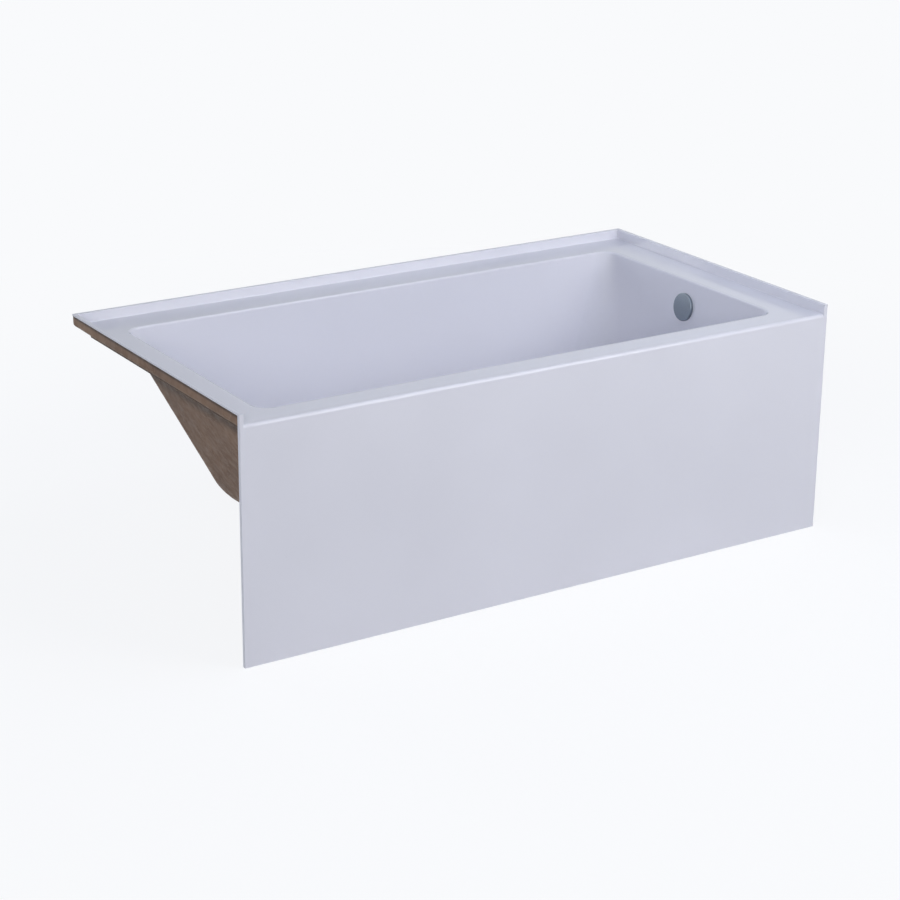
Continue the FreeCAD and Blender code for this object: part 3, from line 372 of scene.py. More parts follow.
def drifting(tree, cloud, tones, spread, gloss, face):
    """A finish whose tone and roughness drift together over a cloud."""
    rough = add(tree, "ShaderNodeMapRange", {
        "Value": cloud, "From Min": 0.3, "From Max": 0.7, "To Min": gloss[0],
        "To Max": gloss[1]})
    return {"Base Color": stained(tree, *tones, cloud, *spread), "Roughness": rough,
            "Normal": face}


def acrylic_vacuum_formed(tree, place, looks):
    """Cast acrylic, vacuum formed: a deep gloss over a milky body, with soft forming waves."""
    look = looks.acrylic
    # Forming thins the sheet unevenly, so its white drifts a little over a span of 420 mm.
    drift = add(tree, "ShaderNodeTexNoise", {"Vector": place, "Scale": per(420)})
    body = stained(tree, paint(look.body), paint(look.thin), drift, 0.35, 0.65, 0.5)
    # Dust nibs a millimetre or two across, about 60 mm apart.
    cells = add(tree, "ShaderNodeTexVoronoi", {"Vector": place, "Scale": per(60)})
    tone = stained(tree, body, paint("#8E8F98"), cells.outputs["Distance"], 0.017, 0.010, 0.25)
    # Handling smears the gloss in patches a hand wide.
    smear = add(tree, "ShaderNodeTexNoise", {
        "Vector": place, "Scale": per(90), "Detail": 5.0, "Roughness": 0.6})
    haze = add(tree, "ShaderNodeMapRange", {
        "Value": smear, "From Min": 0.40, "From Max": 0.75, "To Min": look.haze * 0.7,
        "To Max": look.haze * 1.7})
    formed = grained(tree, place, look.wave / MM, look.wave_depth / MM, detail=1.0)
    face = grained(tree, place, 2.5, 0.003, detail=1.0, Normal=formed)
    return {"Base Color": tone, "Roughness": haze, "IOR": 1.49, "Normal": face}


def painted_shade_under_rim_and_deck(tree, place, look):
    """Painted shade: how dark the laminate is painted in the shadow line under the flange's edge
    and in the shaded corner under the deck.
    """
    rim, deck = CAD_BOX[1].z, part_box("left_rim_batten")[1].z
    # The painted shade darkens the edge over one wall's thickness, and the corner over its lowest
    # fifth or so.
    height = add(tree, "ShaderNodeSeparateXYZ", {0: place}).outputs["Z"]
    edge = add(tree, "ShaderNodeMapRange", {
        "Value": height, "From Min": rim - look.wall * 2.4, "From Max": rim - look.wall * 1.4,
        "To Max": 0.85})
    rising = add(tree, "ShaderNodeMapRange", {
        "Value": height, "From Min": deck - look.corner, "From Max": deck - look.corner * 0.78,
        "To Max": 0.7})
    under = add(tree, "ShaderNodeMapRange", {
        "Value": height, "From Min": deck, "From Max": deck + look.wall, "To Min": 1.0,
        "To Max": 0.0})
    corner = add(tree, "ShaderNodeMath", {0: rising, 1: under}, operation="MULTIPLY")
    return add(tree, "ShaderNodeMath", {0: edge, 1: corner}, operation="MAXIMUM")


def laminate_sprayed(tree, place, looks):
    """Chopped glass sprayed with chalk-filled polyester: a brown, lumpy skin with little gloss."""
    look = looks.laminate
    patches = add(tree, "ShaderNodeTexNoise", {
        "Vector": place, "Scale": per(130), "Detail": 4.0, "Roughness": 0.6})
    mottle = add(tree, "ShaderNodeTexNoise", {
        "Vector": place, "Scale": per(18), "Detail": 4.0, "Roughness": 0.6})
    # Strands fall in bundles, and each bundle lies its own way about the surface.
    bundles = add(tree, "ShaderNodeTexVoronoi", {"Vector": place, "Scale": per(30)})
    angle = add(tree, "ShaderNodeMath", {0: bundles.outputs["Color"], 1: FULL_TURN},
                operation="MULTIPLY")
    facing = add(tree, "ShaderNodeNewGeometry").outputs["Normal"]
    turned_place = add(tree, "ShaderNodeVectorRotate", {
        "Vector": place, "Axis": facing, "Angle": angle}, rotation_type="AXIS_ANGLE")
    drawn_out = add(tree, "ShaderNodeMapping", {
        "Vector": turned_place, "Scale": (per(1.4), per(20), per(20))})
    strands = add(tree, "ShaderNodeTexNoise", {
        "Vector": drawn_out, "Scale": 1.0, "Detail": 1.0, "Distortion": 0.4})
    resin = stained(tree, paint(look.thin), paint(look.thick), patches, 0.34, 0.66)
    pooled = stained(tree, resin, paint(look.thin), mottle, 0.48, 0.76, 0.45)
    rolled = stained(tree, pooled, paint(look.glass), strands, 0.58, 0.78, 0.14)
    # Painted shade: the shadow line under the flange's edge and the shaded corner under the deck
    # are painted darker.
    tone = add(tree, "ShaderNodeMix", {
        "Factor": painted_shade_under_rim_and_deck(tree, place, look), "A": rolled, "B": paint(look.trapped)},
        data_type="RGBA")
    wet = add(tree, "ShaderNodeMapRange", {
        "Value": mottle, "From Min": 0.35, "From Max": 0.65, "To Min": 0.52, "To Max": 0.76})
    swollen = add(tree, "ShaderNodeBump", {"Height": mottle, "Distance": 0.7 * MM})
    face = add(tree, "ShaderNodeBump", {
        "Height": strands, "Distance": 0.15 * MM, "Normal": swollen})
    return {"Base Color": tone, "Roughness": wet, "IOR": 1.55, "Specular IOR Level": 0.2,
            "Normal": face}


def glass_strand_wetted(tree, place, looks):
    """Chopped glass wetted with resin: a shade paler than the skin, with a broken sheen."""
    look = looks.laminate
    fleck = add(tree, "ShaderNodeTexNoise", {"Vector": place, "Scale": per(9), "Detail": 3.0})
    glass = stained(tree, paint(look.thick), paint(look.glass), fleck, 0.35, 0.75, 0.6)
    # Painted shade: the strands are painted darker in the shadow line under the flange's edge and
    # the corner under the deck.
    tone = add(tree, "ShaderNodeMix", {
        "Factor": painted_shade_under_rim_and_deck(tree, place, look), "A": glass, "B": paint(look.trapped)},
        data_type="RGBA")
    sheen = add(tree, "ShaderNodeMapRange", {
        "Value": fleck, "From Min": 0.3, "From Max": 0.7, "To Min": 0.45, "To Max": 0.66})
    return {"Base Color": tone, "Roughness": sheen, "IOR": 1.55, "Specular IOR Level": 0.25,
            "Normal": grained(tree, place, 0.8, 0.05)}


def spruce_planed(tree, place, looks):
    """Planed spruce: growth rings of an early and a late tone, cut lengthwise, with pores."""
    look = looks.timber
    # The rings wander about one pith line, which runs along the tub 40 mm back from its
    # middle and 40 mm above the floor.
    sway = add(tree, "ShaderNodeTexNoise", {"Vector": place, "Scale": per(240)})
    bow = add(tree, "ShaderNodeVectorMath", {0: sway.outputs["Color"], 1: (12 * MM,) * 3},
              operation="MULTIPLY")
    bowed = add(tree, "ShaderNodeVectorMath", {0: place, 1: bow}, operation="ADD")
    cross = add(tree, "ShaderNodeMapping", {"Vector": bowed, "Scale": (0.08, 1, 1)})
    from_pith = add(tree, "ShaderNodeVectorMath", {0: cross, 1: (0, 40 * MM, 40 * MM)},
                    operation="DISTANCE").outputs["Value"]
    rings = add(tree, "ShaderNodeMath", {0: from_pith, 1: 1 / look.ring}, operation="MULTIPLY")
    year = add(tree, "ShaderNodeMath", {0: rings}, operation="FRACT")
    wood = stained(tree, paint(look.early), paint(look.late), year, 0.35, 0.95, 0.75)
    along = add(tree, "ShaderNodeMapping", {"Vector": place, "Scale": (0.05, 1, 1)})
    grain = add(tree, "ShaderNodeTexNoise", {"Vector": along, "Scale": per(1.2), "Detail": 4.0})
    face = add(tree, "ShaderNodeBump", {"Height": grain, "Distance": 0.15 * MM})
    return {**drifting(tree, grain, (wood, paint("#A97F4E")), (0.45, 0.75, 0.4), (0.62, 0.80),
                       face), "IOR": 1.5}


def spruce_glassed_in(tree, place, looks):
    """Spruce under a thin coat of sprayed resin; its underside shows bare in worn patches."""
    # The coat brings the laminate's painted shade under the rim and the deck with it.
    wood, coat = spruce_planed(tree, place, looks), laminate_sprayed(tree, place, looks)
    facing = add(tree, "ShaderNodeNewGeometry").outputs["Normal"]
    upward = add(tree, "ShaderNodeSeparateXYZ", {0: facing}).outputs["Z"]
    below = add(tree, "ShaderNodeMath", {0: upward, 1: -0.5}, operation="LESS_THAN")
    patches = add(tree, "ShaderNodeTexNoise", {
        "Vector": place, "Scale": per(80), "Detail": 4.0})
    worn = add(tree, "ShaderNodeMapRange", {
        "Value": patches, "From Min": 0.46, "From Max": 0.56, "To Max": 0.8})
    bare = add(tree, "ShaderNodeMath", {0: worn, 1: below}, operation="MULTIPLY")
    tone = add(tree, "ShaderNodeMix", {
        "Factor": bare, "A": coat["Base Color"], "B": wood["Base Color"]}, data_type="RGBA")
    return {**coat, "Base Color": tone}


def plywood(tree, place, look, through):
    """Birch veneers glued crosswise: a flamed face, and edges striped light and dark."""
    depth = add(tree, "ShaderNodeSeparateXYZ", {0: place}).outputs[through]
    facing = add(tree, "ShaderNodeNewGeometry").outputs["Normal"]
    square = add(tree, "ShaderNodeSeparateXYZ", {0: facing}).outputs[through]
    size = add(tree, "ShaderNodeMath", {0: square}, operation="ABSOLUTE")
    on_edge = add(tree, "ShaderNodeMath", {0: size, 1: 0.5}, operation="LESS_THAN")
    turns = add(tree, "ShaderNodeMath", {0: depth, 1: FULL_TURN / look.ply},
                operation="MULTIPLY")
    band = add(tree, "ShaderNodeMath", {0: turns}, operation="SINE")
    along = add(tree, "ShaderNodeMapping", {"Vector": place, "Scale": (0.06, 1, 1)})
    fibre = add(tree, "ShaderNodeTexNoise", {"Vector": along, "Scale": per(1.6), "Detail": 5.0})
    wide = add(tree, "ShaderNodeMapping", {"Vector": place, "Scale": (0.22, 1, 1)})
    flame = add(tree, "ShaderNodeTexNoise", {"Vector": wide, "Scale": per(42), "Detail": 3.0})
    veneer = stained(tree, paint(look.veneer), paint("#B08A5A"), flame, 0.38, 0.62)
    face = stained(tree, veneer, paint("#94703F"), fibre, 0.45, 0.72, 0.45)
    edge = stained(tree, paint(look.glue), paint(look.veneer), band, -0.4, 0.4)
    tone = add(tree, "ShaderNodeMix", {"Factor": on_edge, "A": face, "B": edge},
               data_type="RGBA")
    step = add(tree, "ShaderNodeMath", {0: band, 1: on_edge}, operation="MULTIPLY")
    fibrous = add(tree, "ShaderNodeBump", {"Height": fibre, "Distance": 0.12 * MM})
    relief = add(tree, "ShaderNodeBump", {
        "Height": step, "Distance": 0.06 * MM, "Normal": fibrous})
    return {"Base Color": tone, "Roughness": 0.74, "IOR": 1.5, "Normal": relief}


def birch_plywood_flat(tree, place, looks):
    """Rotary-cut birch plywood that lies flat, its veneers stacked upwards."""
    return plywood(tree, place, looks.timber, "Z")


def birch_plywood_on_edge(tree, place, looks):
    """Rotary-cut birch plywood that stands on edge, its veneers stacked along the tub."""
    return plywood(tree, place, looks.timber, "X")


def steel_hot_dip_galvanised(tree, place, looks):
    """Galvanised sheet steel: pale zinc in crystals a thumbnail wide, each its own grey."""
    look = looks.leg_bar
    grey = add(tree, "ShaderNodeTexVoronoi", {
        "Vector": place, "Scale": per(look.spangle / MM)}).outputs["Color"]
    tone = add(tree, "ShaderNodeMix", {
        "Factor": grey, "A": paint(toned(look.zinc, 0.72)), "B": paint(look.zinc)},
        data_type="RGBA")
    rough = add(tree, "ShaderNodeMapRange", {"Value": grey, "To Min": 0.30, "To Max": 0.50})
    return {"Base Color": tone, "Metallic": 1.0, "Roughness": rough,
            "Normal": grained(tree, place, 1.4, 0.02, detail=3.0)}


def steel_zinc_plated(tree, place, looks):
    """Bright zinc plate on turned steel: cool silver with a straw tint and fine turning."""
    stain = add(tree, "ShaderNodeTexNoise", {"Vector": place, "Scale": per(14), "Detail": 4.0})
    return {**drifting(tree, stain, (paint("#BFC3C6"), paint("#C6BFA8")), (0.40, 0.65),
                       (0.22, 0.38), grained(tree, place, 0.7, 0.01)), "Metallic": 1.0}


def nickel_brushed(tree, place, looks):
    """Brushed nickel plate: grey metal whose fine upright scratches drag out the highlight."""
    nickel = paint(looks.overflow.nickel)
    darker = paint(toned(looks.overflow.nickel, 0.82))
    # Real scratches are finer than a pixel, so they are drawn 0.5 mm apart to show.
    upright_lines = add(tree, "ShaderNodeMapping", {"Vector": place, "Scale": (1, 1, 0.04)})
    scratch = add(tree, "ShaderNodeTexNoise", {
        "Vector": upright_lines, "Scale": per(0.5), "Detail": 3.0})
    cloud = add(tree, "ShaderNodeTexNoise", {"Vector": place, "Scale": per(24)})
    metal = stained(tree, darker, nickel, scratch, 0.35, 0.65)
    tone = stained(tree, metal, darker, cloud, 0.4, 0.7, 0.4)
    rough = add(tree, "ShaderNodeMapRange", {
        "Value": scratch, "From Min": 0.3, "From Max": 0.7, "To Min": 0.30, "To Max": 0.44})
    face = add(tree, "ShaderNodeBump", {"Height": scratch, "Distance": 0.01 * MM})
    return {"Base Color": tone, "Metallic": 1.0, "Roughness": rough, "Normal": face}


def moulded_plastic(tree, place, dark, light, haze, grain_mm):
    """What moulded plastics share: a soft sheen, a spark-eroded grain and faint flow marks."""
    flowing = add(tree, "ShaderNodeMapping", {"Vector": place, "Scale": (1, 1, 0.35)})
    flow = add(tree, "ShaderNodeTexNoise", {
        "Vector": flowing, "Scale": per(30), "Detail": 3.0, "Distortion": 0.8})
    return {**drifting(tree, flow, (paint(dark), paint(light)), (0.40, 0.66),
                       (haze, haze + 0.14), grained(tree, place, grain_mm, 0.03)), "IOR": 1.53}


def abs_moulded(tree, place, looks):
    """Injection-moulded ABS: near-black with a clear sheen."""
    plastic = looks.waste.plastic
    return moulded_plastic(tree, place, toned(plastic, 0.6), plastic, 0.30, 0.9)


def polypropylene_moulded(tree, place, looks):
    """Injection-moulded polypropylene: black, waxier than the fittings that it screws to."""
    plastic = looks.waste.plastic
    return moulded_plastic(tree, place, plastic, toned(plastic, 1.7), 0.38, 0.7)


def nylon_moulded(tree, place, looks):
    """Injection-moulded nylon: black and rather dull."""
    return moulded_plastic(tree, place, "#141414", "#222224", 0.46, 0.6)


def rubber_moulded(tree, place, looks):
    """Moulded black rubber: dull, with a grey bloom in patches."""
    cloud = add(tree, "ShaderNodeTexNoise", {
        "Vector": place, "Scale": per(12), "Detail": 4.0, "Roughness": 0.65})
    return {**drifting(tree, cloud, (paint("#1B1B1C"), paint("#34343A")), (0.45, 0.72),
                       (0.62, 0.85), grained(tree, place, 0.9, 0.03)), "IOR": 1.52}


def polythene_moulded(tree, place, looks):
    """Natural polythene, moulded: milky, waxy and slightly see-through at its edges."""
    cloud = add(tree, "ShaderNodeTexNoise", {"Vector": place, "Scale": per(6), "Detail": 3.0})
    face = add(tree, "ShaderNodeBump", {"Height": cloud, "Distance": 0.02 * MM})
    return {**drifting(tree, cloud, (paint("#E4E2DA"), paint("#D2D0C8")), (0.35, 0.65),
                       (0.38, 0.50), face),
            "IOR": 1.51, "Subsurface Weight": 0.3, "Subsurface Scale": 2 * MM}


def seen_directly(tree):
    """One where the camera, a reflection or a view through glass looks, else nought."""
    path = add(tree, "ShaderNodeLightPath").outputs
    plain = add(tree, "ShaderNodeMath", {0: path["Is Camera Ray"], 1: path["Is Glossy Ray"]},
                operation="MAXIMUM")
    return add(tree, "ShaderNodeMath", {0: plain, 1: path["Is Transmission Ray"]},
               operation="MAXIMUM")


def screed_painted(tree, place, looks):
    """Painted screed: matt and pale. It keeps the tub's shade close by and is even farther off."""
    look = looks.stage
    seen = seen_directly(tree)
    away = add(tree, "ShaderNodeVectorMath", {0: place}, operation="LENGTH").outputs["Value"]
    near = add(tree, "ShaderNodeMapRange", {
        "Value": away, "From Min": look.shadow_reach * 0.35, "From Max": look.shadow_reach,
        "To Min": look.shadow_share, "To Max": 0.0}, interpolation_type="SMOOTHSTEP")
    cloud = add(tree, "ShaderNodeTexNoise", {
        "Vector": place, "Scale": per(600), "Detail": 4.0})
    faint = add(tree, "ShaderNodeMapRange", {"Value": cloud, "To Min": 0.99, "To Max": 1.01})
    own = add(tree, "ShaderNodeMath", {0: near, 1: faint}, operation="MULTIPLY")
    shade = add(tree, "ShaderNodeVectorMath", {
        0: tuple(look.backdrop), "Scale": own}, operation="SCALE")
    body = add(tree, "ShaderNodeMix", {
        "Factor": seen, "A": paint(look.floor), "B": shade}, data_type="RGBA")
    lit = add(tree, "ShaderNodeMath", {0: near, 1: look.open_floor}, operation="MULTIPLY")
    rest = add(tree, "ShaderNodeMath", {0: 1.0, 1: lit}, operation="SUBTRACT")
    glow = add(tree, "ShaderNodeMath", {0: rest, 1: seen}, operation="MULTIPLY")
    return {"Base Color": body, "Roughness": 1.0, "Specular IOR Level": 0.0,
            "Emission Color": paint(look.backdrop), "Emission Strength": glow}


def body_of(node):
    """The body a solid moves with."""
    return frame["nodes"][node]["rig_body"]


def centre_of(node):
    """The middle of a solid's box."""
    low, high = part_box(node)
    return (low + high) / 2


def size_of(node):
    """The size of a solid's box."""
    low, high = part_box(node)
    return high - low


def standing_at(node, lift=0):
    """The place in the middle of a solid's box, at its lowest level or a lift above that."""
    return Matrix.Translation((*centre_of(node).xy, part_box(node)[0].z + lift))


def loose_object(name, data):
    """An object in the scene, on no body yet, for a mesh, a lamp or a camera."""
    piece = bpy.data.objects.new(name, data)
    bpy.context.scene.collection.objects.link(piece)
    return piece


def settle(piece):
    """The evaluated mesh of an object, which is then removed."""
    bpy.context.view_layer.update()
    graph = bpy.context.evaluated_depsgraph_get()
    mesh = bpy.data.meshes.new_from_object(piece.evaluated_get(graph), depsgraph=graph)
    bpy.data.objects.remove(piece)
    return mesh


def show(name, mesh, material, node, stands_for_it=True):
    """A finished piece on its solid's body, which it usually stands for."""
    piece = loose_object(name, mesh)
    mesh.name = name
    mesh.materials.clear()
    mesh.materials.append(material)
    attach(piece, body_of(node))
    if stands_for_it:
        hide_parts(node)


def smoothed(mesh):
    """A mesh shaded smooth but for its real edges."""
    mesh.shade_smooth()
    mesh.set_sharp_from_angle(angle=SMOOTH_ANGLE)
    return mesh


def mesh_of(work, name):
    """A mesh from finished mesh work."""
    mesh = bpy.data.meshes.new(name)
    work.to_mesh(mesh)
    work.free()
    return mesh


def built_up(work, name):
    """A mesh from new mesh work, its faces turned outwards."""
    bmesh.ops.recalc_face_normals(work, faces=work.faces)
    return mesh_of(work, name)


def merged(node):
    """A copy of a solid's mesh with its loose triangles joined."""
    work = bmesh.new()
    work.from_mesh(frame["nodes"][node].data)
    bmesh.ops.remove_doubles(work, verts=work.verts, dist=MERGE)
    bmesh.ops.dissolve_limit(work, angle_limit=FLAT_ANGLE, verts=work.verts,
                             edges=work.edges, delimit={"NORMAL"})
    mesh = mesh_of(work, node)
    if "custom_normal" in mesh.attributes:
        mesh.attributes.remove(mesh.attributes["custom_normal"])
    return mesh


def eased(mesh, width):
    """A mesh with its sharp edges rounded and its flats kept flat to the eye."""
    mesh.shade_smooth()
    piece = loose_object("easing", mesh)
    bevel = piece.modifiers.new("Edges", "BEVEL")
    bevel.width = width
    bevel.segments = 2
    bevel.limit_method = "ANGLE"
    bevel.angle_limit = SMOOTH_ANGLE
    weigh = piece.modifiers.new("Normals", "WEIGHTED_NORMAL")
    weigh.keep_sharp = True
    return settle(piece)


def ease_solids(builds, easing, suffix):
    """Solids shown with their edges rounded, each in its own finish."""
    for node, build in builds.items():
        show(node + suffix, eased(merged(node), easing), finish(build), node)


def less(mesh, tool_mesh):
    """A mesh with the space of another cut out of it."""
    piece = loose_object("blank", mesh)
    tool = loose_object("tool", tool_mesh)
    cutter = piece.modifiers.new("Cut", "BOOLEAN")
    cutter.object = tool
    cutter.solver = "EXACT"
    result = settle(piece)
    bpy.data.objects.remove(tool)
    return result


def block(name, *boxes):
    """A mesh of boxes, each given as its centre and size."""
    work = bmesh.new()
    for centre, size in boxes:
        bmesh.ops.create_cube(work, size=1.0,
                              matrix=Matrix.Translation(centre) @ Matrix.Diagonal((*size, 1)))
    return built_up(work, name)


def rounded(corners, steps=4):
    """Outline points from (radius, height, rounding) corners, each rounding as an arc."""
    points = []
    for number, (radius, height, rounding) in enumerate(corners):
        here = Vector((radius, height))
        if not rounding:
            points.append(here)
            continue
        before = (Vector(corners[number - 1][:2]) - here).normalized()
        after = (Vector(corners[(number + 1) % len(corners)][:2]) - here).normalized()
        half = before.angle(after) / 2
        centre = here + (before + after).normalized() * (rounding / math.sin(half))
        start = here + before * (rounding / math.tan(half)) - centre
        sweep = math.pi - 2 * half
        side = 1 if before.cross(after) < 0 else -1
        points += [centre + Matrix.Rotation(side * sweep * step / steps, 2) @ start
                   for step in range(steps + 1)]
    return points


def spun(rings, name):
    """A closed mesh through rings of points, each ring a section at its own angle."""
    work = bmesh.new()
    loops = []
    for number, ring in enumerate(rings):
        angle = FULL_TURN * number / len(rings)
        loops.append([work.verts.new((radius * math.cos(angle), radius * math.sin(angle), z))
                      for radius, z in ring])
    count = len(rings[0])
    for number, near in enumerate(loops):
        far = loops[(number + 1) % len(loops)]
        for here in range(count):
            after = (here + 1) % count
            work.faces.new((near[here], near[after], far[after], far[here]))
    bmesh.ops.remove_doubles(work, verts=work.verts, dist=MERGE)
    return built_up(work, name)


def turned(corners, steps=72):
    """A turned piece: a closed outline spun about the upright axis."""
    outline = rounded(corners)
    return smoothed(spun([outline] * steps, "turned"))


def placed(mesh, place):
    """A mesh moved to its place."""
    mesh.transform(place)
    return mesh


# ---------------------------------------------------------------- geometry trees
def tree_with(name, sockets):
    """A geometry tree with named inputs after its geometry, and the sockets that give them."""
    tree = bpy.data.node_groups.new(name, "GeometryNodeTree")
    tree.interface.new_socket("Geometry", in_out="INPUT", socket_type="NodeSocketGeometry")
    tree.interface.new_socket("Geometry", in_out="OUTPUT", socket_type="NodeSocketGeometry")
    for label, kind in sockets:
        tree.interface.new_socket(label, in_out="INPUT", socket_type="NodeSocket" + kind)
    return tree, add(tree, "NodeGroupInput").outputs


def ended(tree, geometry, material):
    """The end of a tree: real geometry in its own material."""
    real = add(tree, "GeometryNodeRealizeInstances", {"Geometry": geometry})
    coated = add(tree, "GeometryNodeSetMaterial", {"Geometry": real, "Material": material})
    add(tree, "NodeGroupOutput", {0: coated})
    return tree


def grown(tree, mesh, **values):
    """What a tree makes of a mesh, as a plain mesh."""
    piece = loose_object("growing", mesh)
    grow = piece.modifiers.new("Grow", "NODES")
    grow.node_group = tree
    for item in tree.interface.items_tree:
        key = item.name.lower().replace(" ", "_")
        if item.in_out == "INPUT" and key in values:
            grow[item.identifier] = values[key]
    return settle(piece)


def thread_tree():
    """A screw thread wound on a core that is given as the mesh."""
    tree, given = tree_with("Screw Thread", (
        ("Core", "Float"), ("Depth", "Float"), ("Pitch", "Float"), ("Length", "Float"),
        ("Start", "Float"), ("Material", "Material")))
    turns = add(tree, "ShaderNodeMath", {0: given["Length"], 1: given["Pitch"]},
                operation="DIVIDE")
    helix = add(tree, "GeometryNodeCurveSpiral", {
        "Resolution": 20, "Rotations": turns, "Start Radius": given["Core"],
        "End Radius": given["Core"], "Height": given["Length"]})
    level = add(tree, "GeometryNodeSetCurveNormal", {"Curve": helix}, mode="Z_UP")
    ridge = add(tree, "GeometryNodeCurvePrimitiveCircle", {
        "Resolution": 4, "Radius": given["Depth"]}, mode="RADIUS")
    wound = add(tree, "GeometryNodeCurveToMesh", {
        "Curve": level, "Profile Curve": ridge, "Fill Caps": True})
    start = add(tree, "ShaderNodeCombineXYZ", {"Z": given["Start"]})
    thread = add(tree, "GeometryNodeTransform", {"Geometry": wound, "Translation": start})
    both = add(tree, "GeometryNodeJoinGeometry", {"Geometry": [thread, given["Geometry"]]})
    return ended(tree, both, given["Material"])


def rib_tree():
    """Ribs with rounded ends, evenly spaced round a body that is given as the mesh."""
    tree, given = tree_with("Ribs Round A Hub", (
        ("Count", "Int"), ("Radius", "Float"), ("Size", "Vector"), ("Height", "Float"),
        ("Material", "Material")))
    circle = add(tree, "GeometryNodeMeshCircle", {
        "Vertices": given["Count"], "Radius": given["Radius"]})
    up = add(tree, "ShaderNodeCombineXYZ", {"Z": given["Height"]})
    raised = add(tree, "GeometryNodeTransform", {"Geometry": circle, "Translation": up})
    spot = add(tree, "GeometryNodeInputPosition")
    outward = add(tree, "ShaderNodeVectorMath", {0: spot, 1: (1, 1, 0)}, operation="MULTIPLY")
    turn = add(tree, "FunctionNodeAlignRotationToVector", {"Vector": outward}, axis="X")
    bead = add(tree, "GeometryNodeMeshUVSphere", {"Segments": 10, "Rings": 8, "Radius": 0.5})
    sized = add(tree, "GeometryNodeTransform", {"Geometry": bead, "Scale": given["Size"]})
    ribs = add(tree, "GeometryNodeInstanceOnPoints", {
        "Points": raised, "Instance": sized, "Rotation": turn})
    both = add(tree, "GeometryNodeJoinGeometry", {"Geometry": [ribs, given["Geometry"]]})
    return ended(tree, both, given["Material"])


def spots_tree():
    """One fastener set at every point of the mesh."""
    tree, given = tree_with("Fasteners On Spots", (
        ("Fastener", "Object"), ("Material", "Material")))
    one = add(tree, "GeometryNodeObjectInfo", {"Object": given["Fastener"]})
    points = add(tree, "GeometryNodeMeshToPoints", {"Mesh": given["Geometry"]})
    all_of_them = add(tree, "GeometryNodeInstanceOnPoints", {
        "Points": points, "Instance": one.outputs["Geometry"]})
    return ended(tree, all_of_them, given["Material"])


def off_the_sheet(tree, sheet):
    """How far each point stands off the sheet that the laminate is bonded to."""
    bonded = add(tree, "GeometryNodeObjectInfo", {"Object": sheet})
    return add(tree, "GeometryNodeProximity", {0: bonded.outputs["Geometry"]},
               target_element="FACES").outputs["Distance"]


def lump_tree():
    """A sprayed face: the mesh swells away from the sheet that it is bonded to."""
    tree, given = tree_with("Sprayed Lumps", (
        ("Sheet", "Object"), ("Lump", "Float"), ("Wall", "Float"), ("Material", "Material")))
    gap = off_the_sheet(tree, given["Sheet"])
    share = add(tree, "ShaderNodeMath", {0: gap, 1: given["Wall"]}, operation="DIVIDE")
    free = add(tree, "ShaderNodeMapRange", {"Value": share, "From Min": 0.5, "From Max": 0.9})
    # Broad swells about 120 mm apart carry closer ones about 42 mm apart.
    spot = add(tree, "GeometryNodeInputPosition")
    broad = add(tree, "ShaderNodeTexNoise", {"Vector": spot, "Scale": per(120), "Detail": 1.0})
    close = add(tree, "ShaderNodeTexNoise", {"Vector": spot, "Scale": per(42), "Detail": 1.0})
    relief = add(tree, "ShaderNodeMath", {0: broad, 1: close}, operation="ADD")
    level = add(tree, "ShaderNodeMath", {0: relief, 1: 1.0}, operation="SUBTRACT")
    held = add(tree, "ShaderNodeMath", {0: level, 1: free}, operation="MULTIPLY")
    swell = add(tree, "ShaderNodeMath", {0: held, 1: given["Lump"]}, operation="MULTIPLY")
    facing = add(tree, "GeometryNodeInputNormal").outputs["Normal"]
    out = add(tree, "ShaderNodeVectorMath", {0: facing, "Scale": swell}, operation="SCALE")
    lumpy = add(tree, "GeometryNodeSetPosition", {
        "Geometry": given["Geometry"], "Offset": out})
    return ended(tree, lumpy, given["Material"])


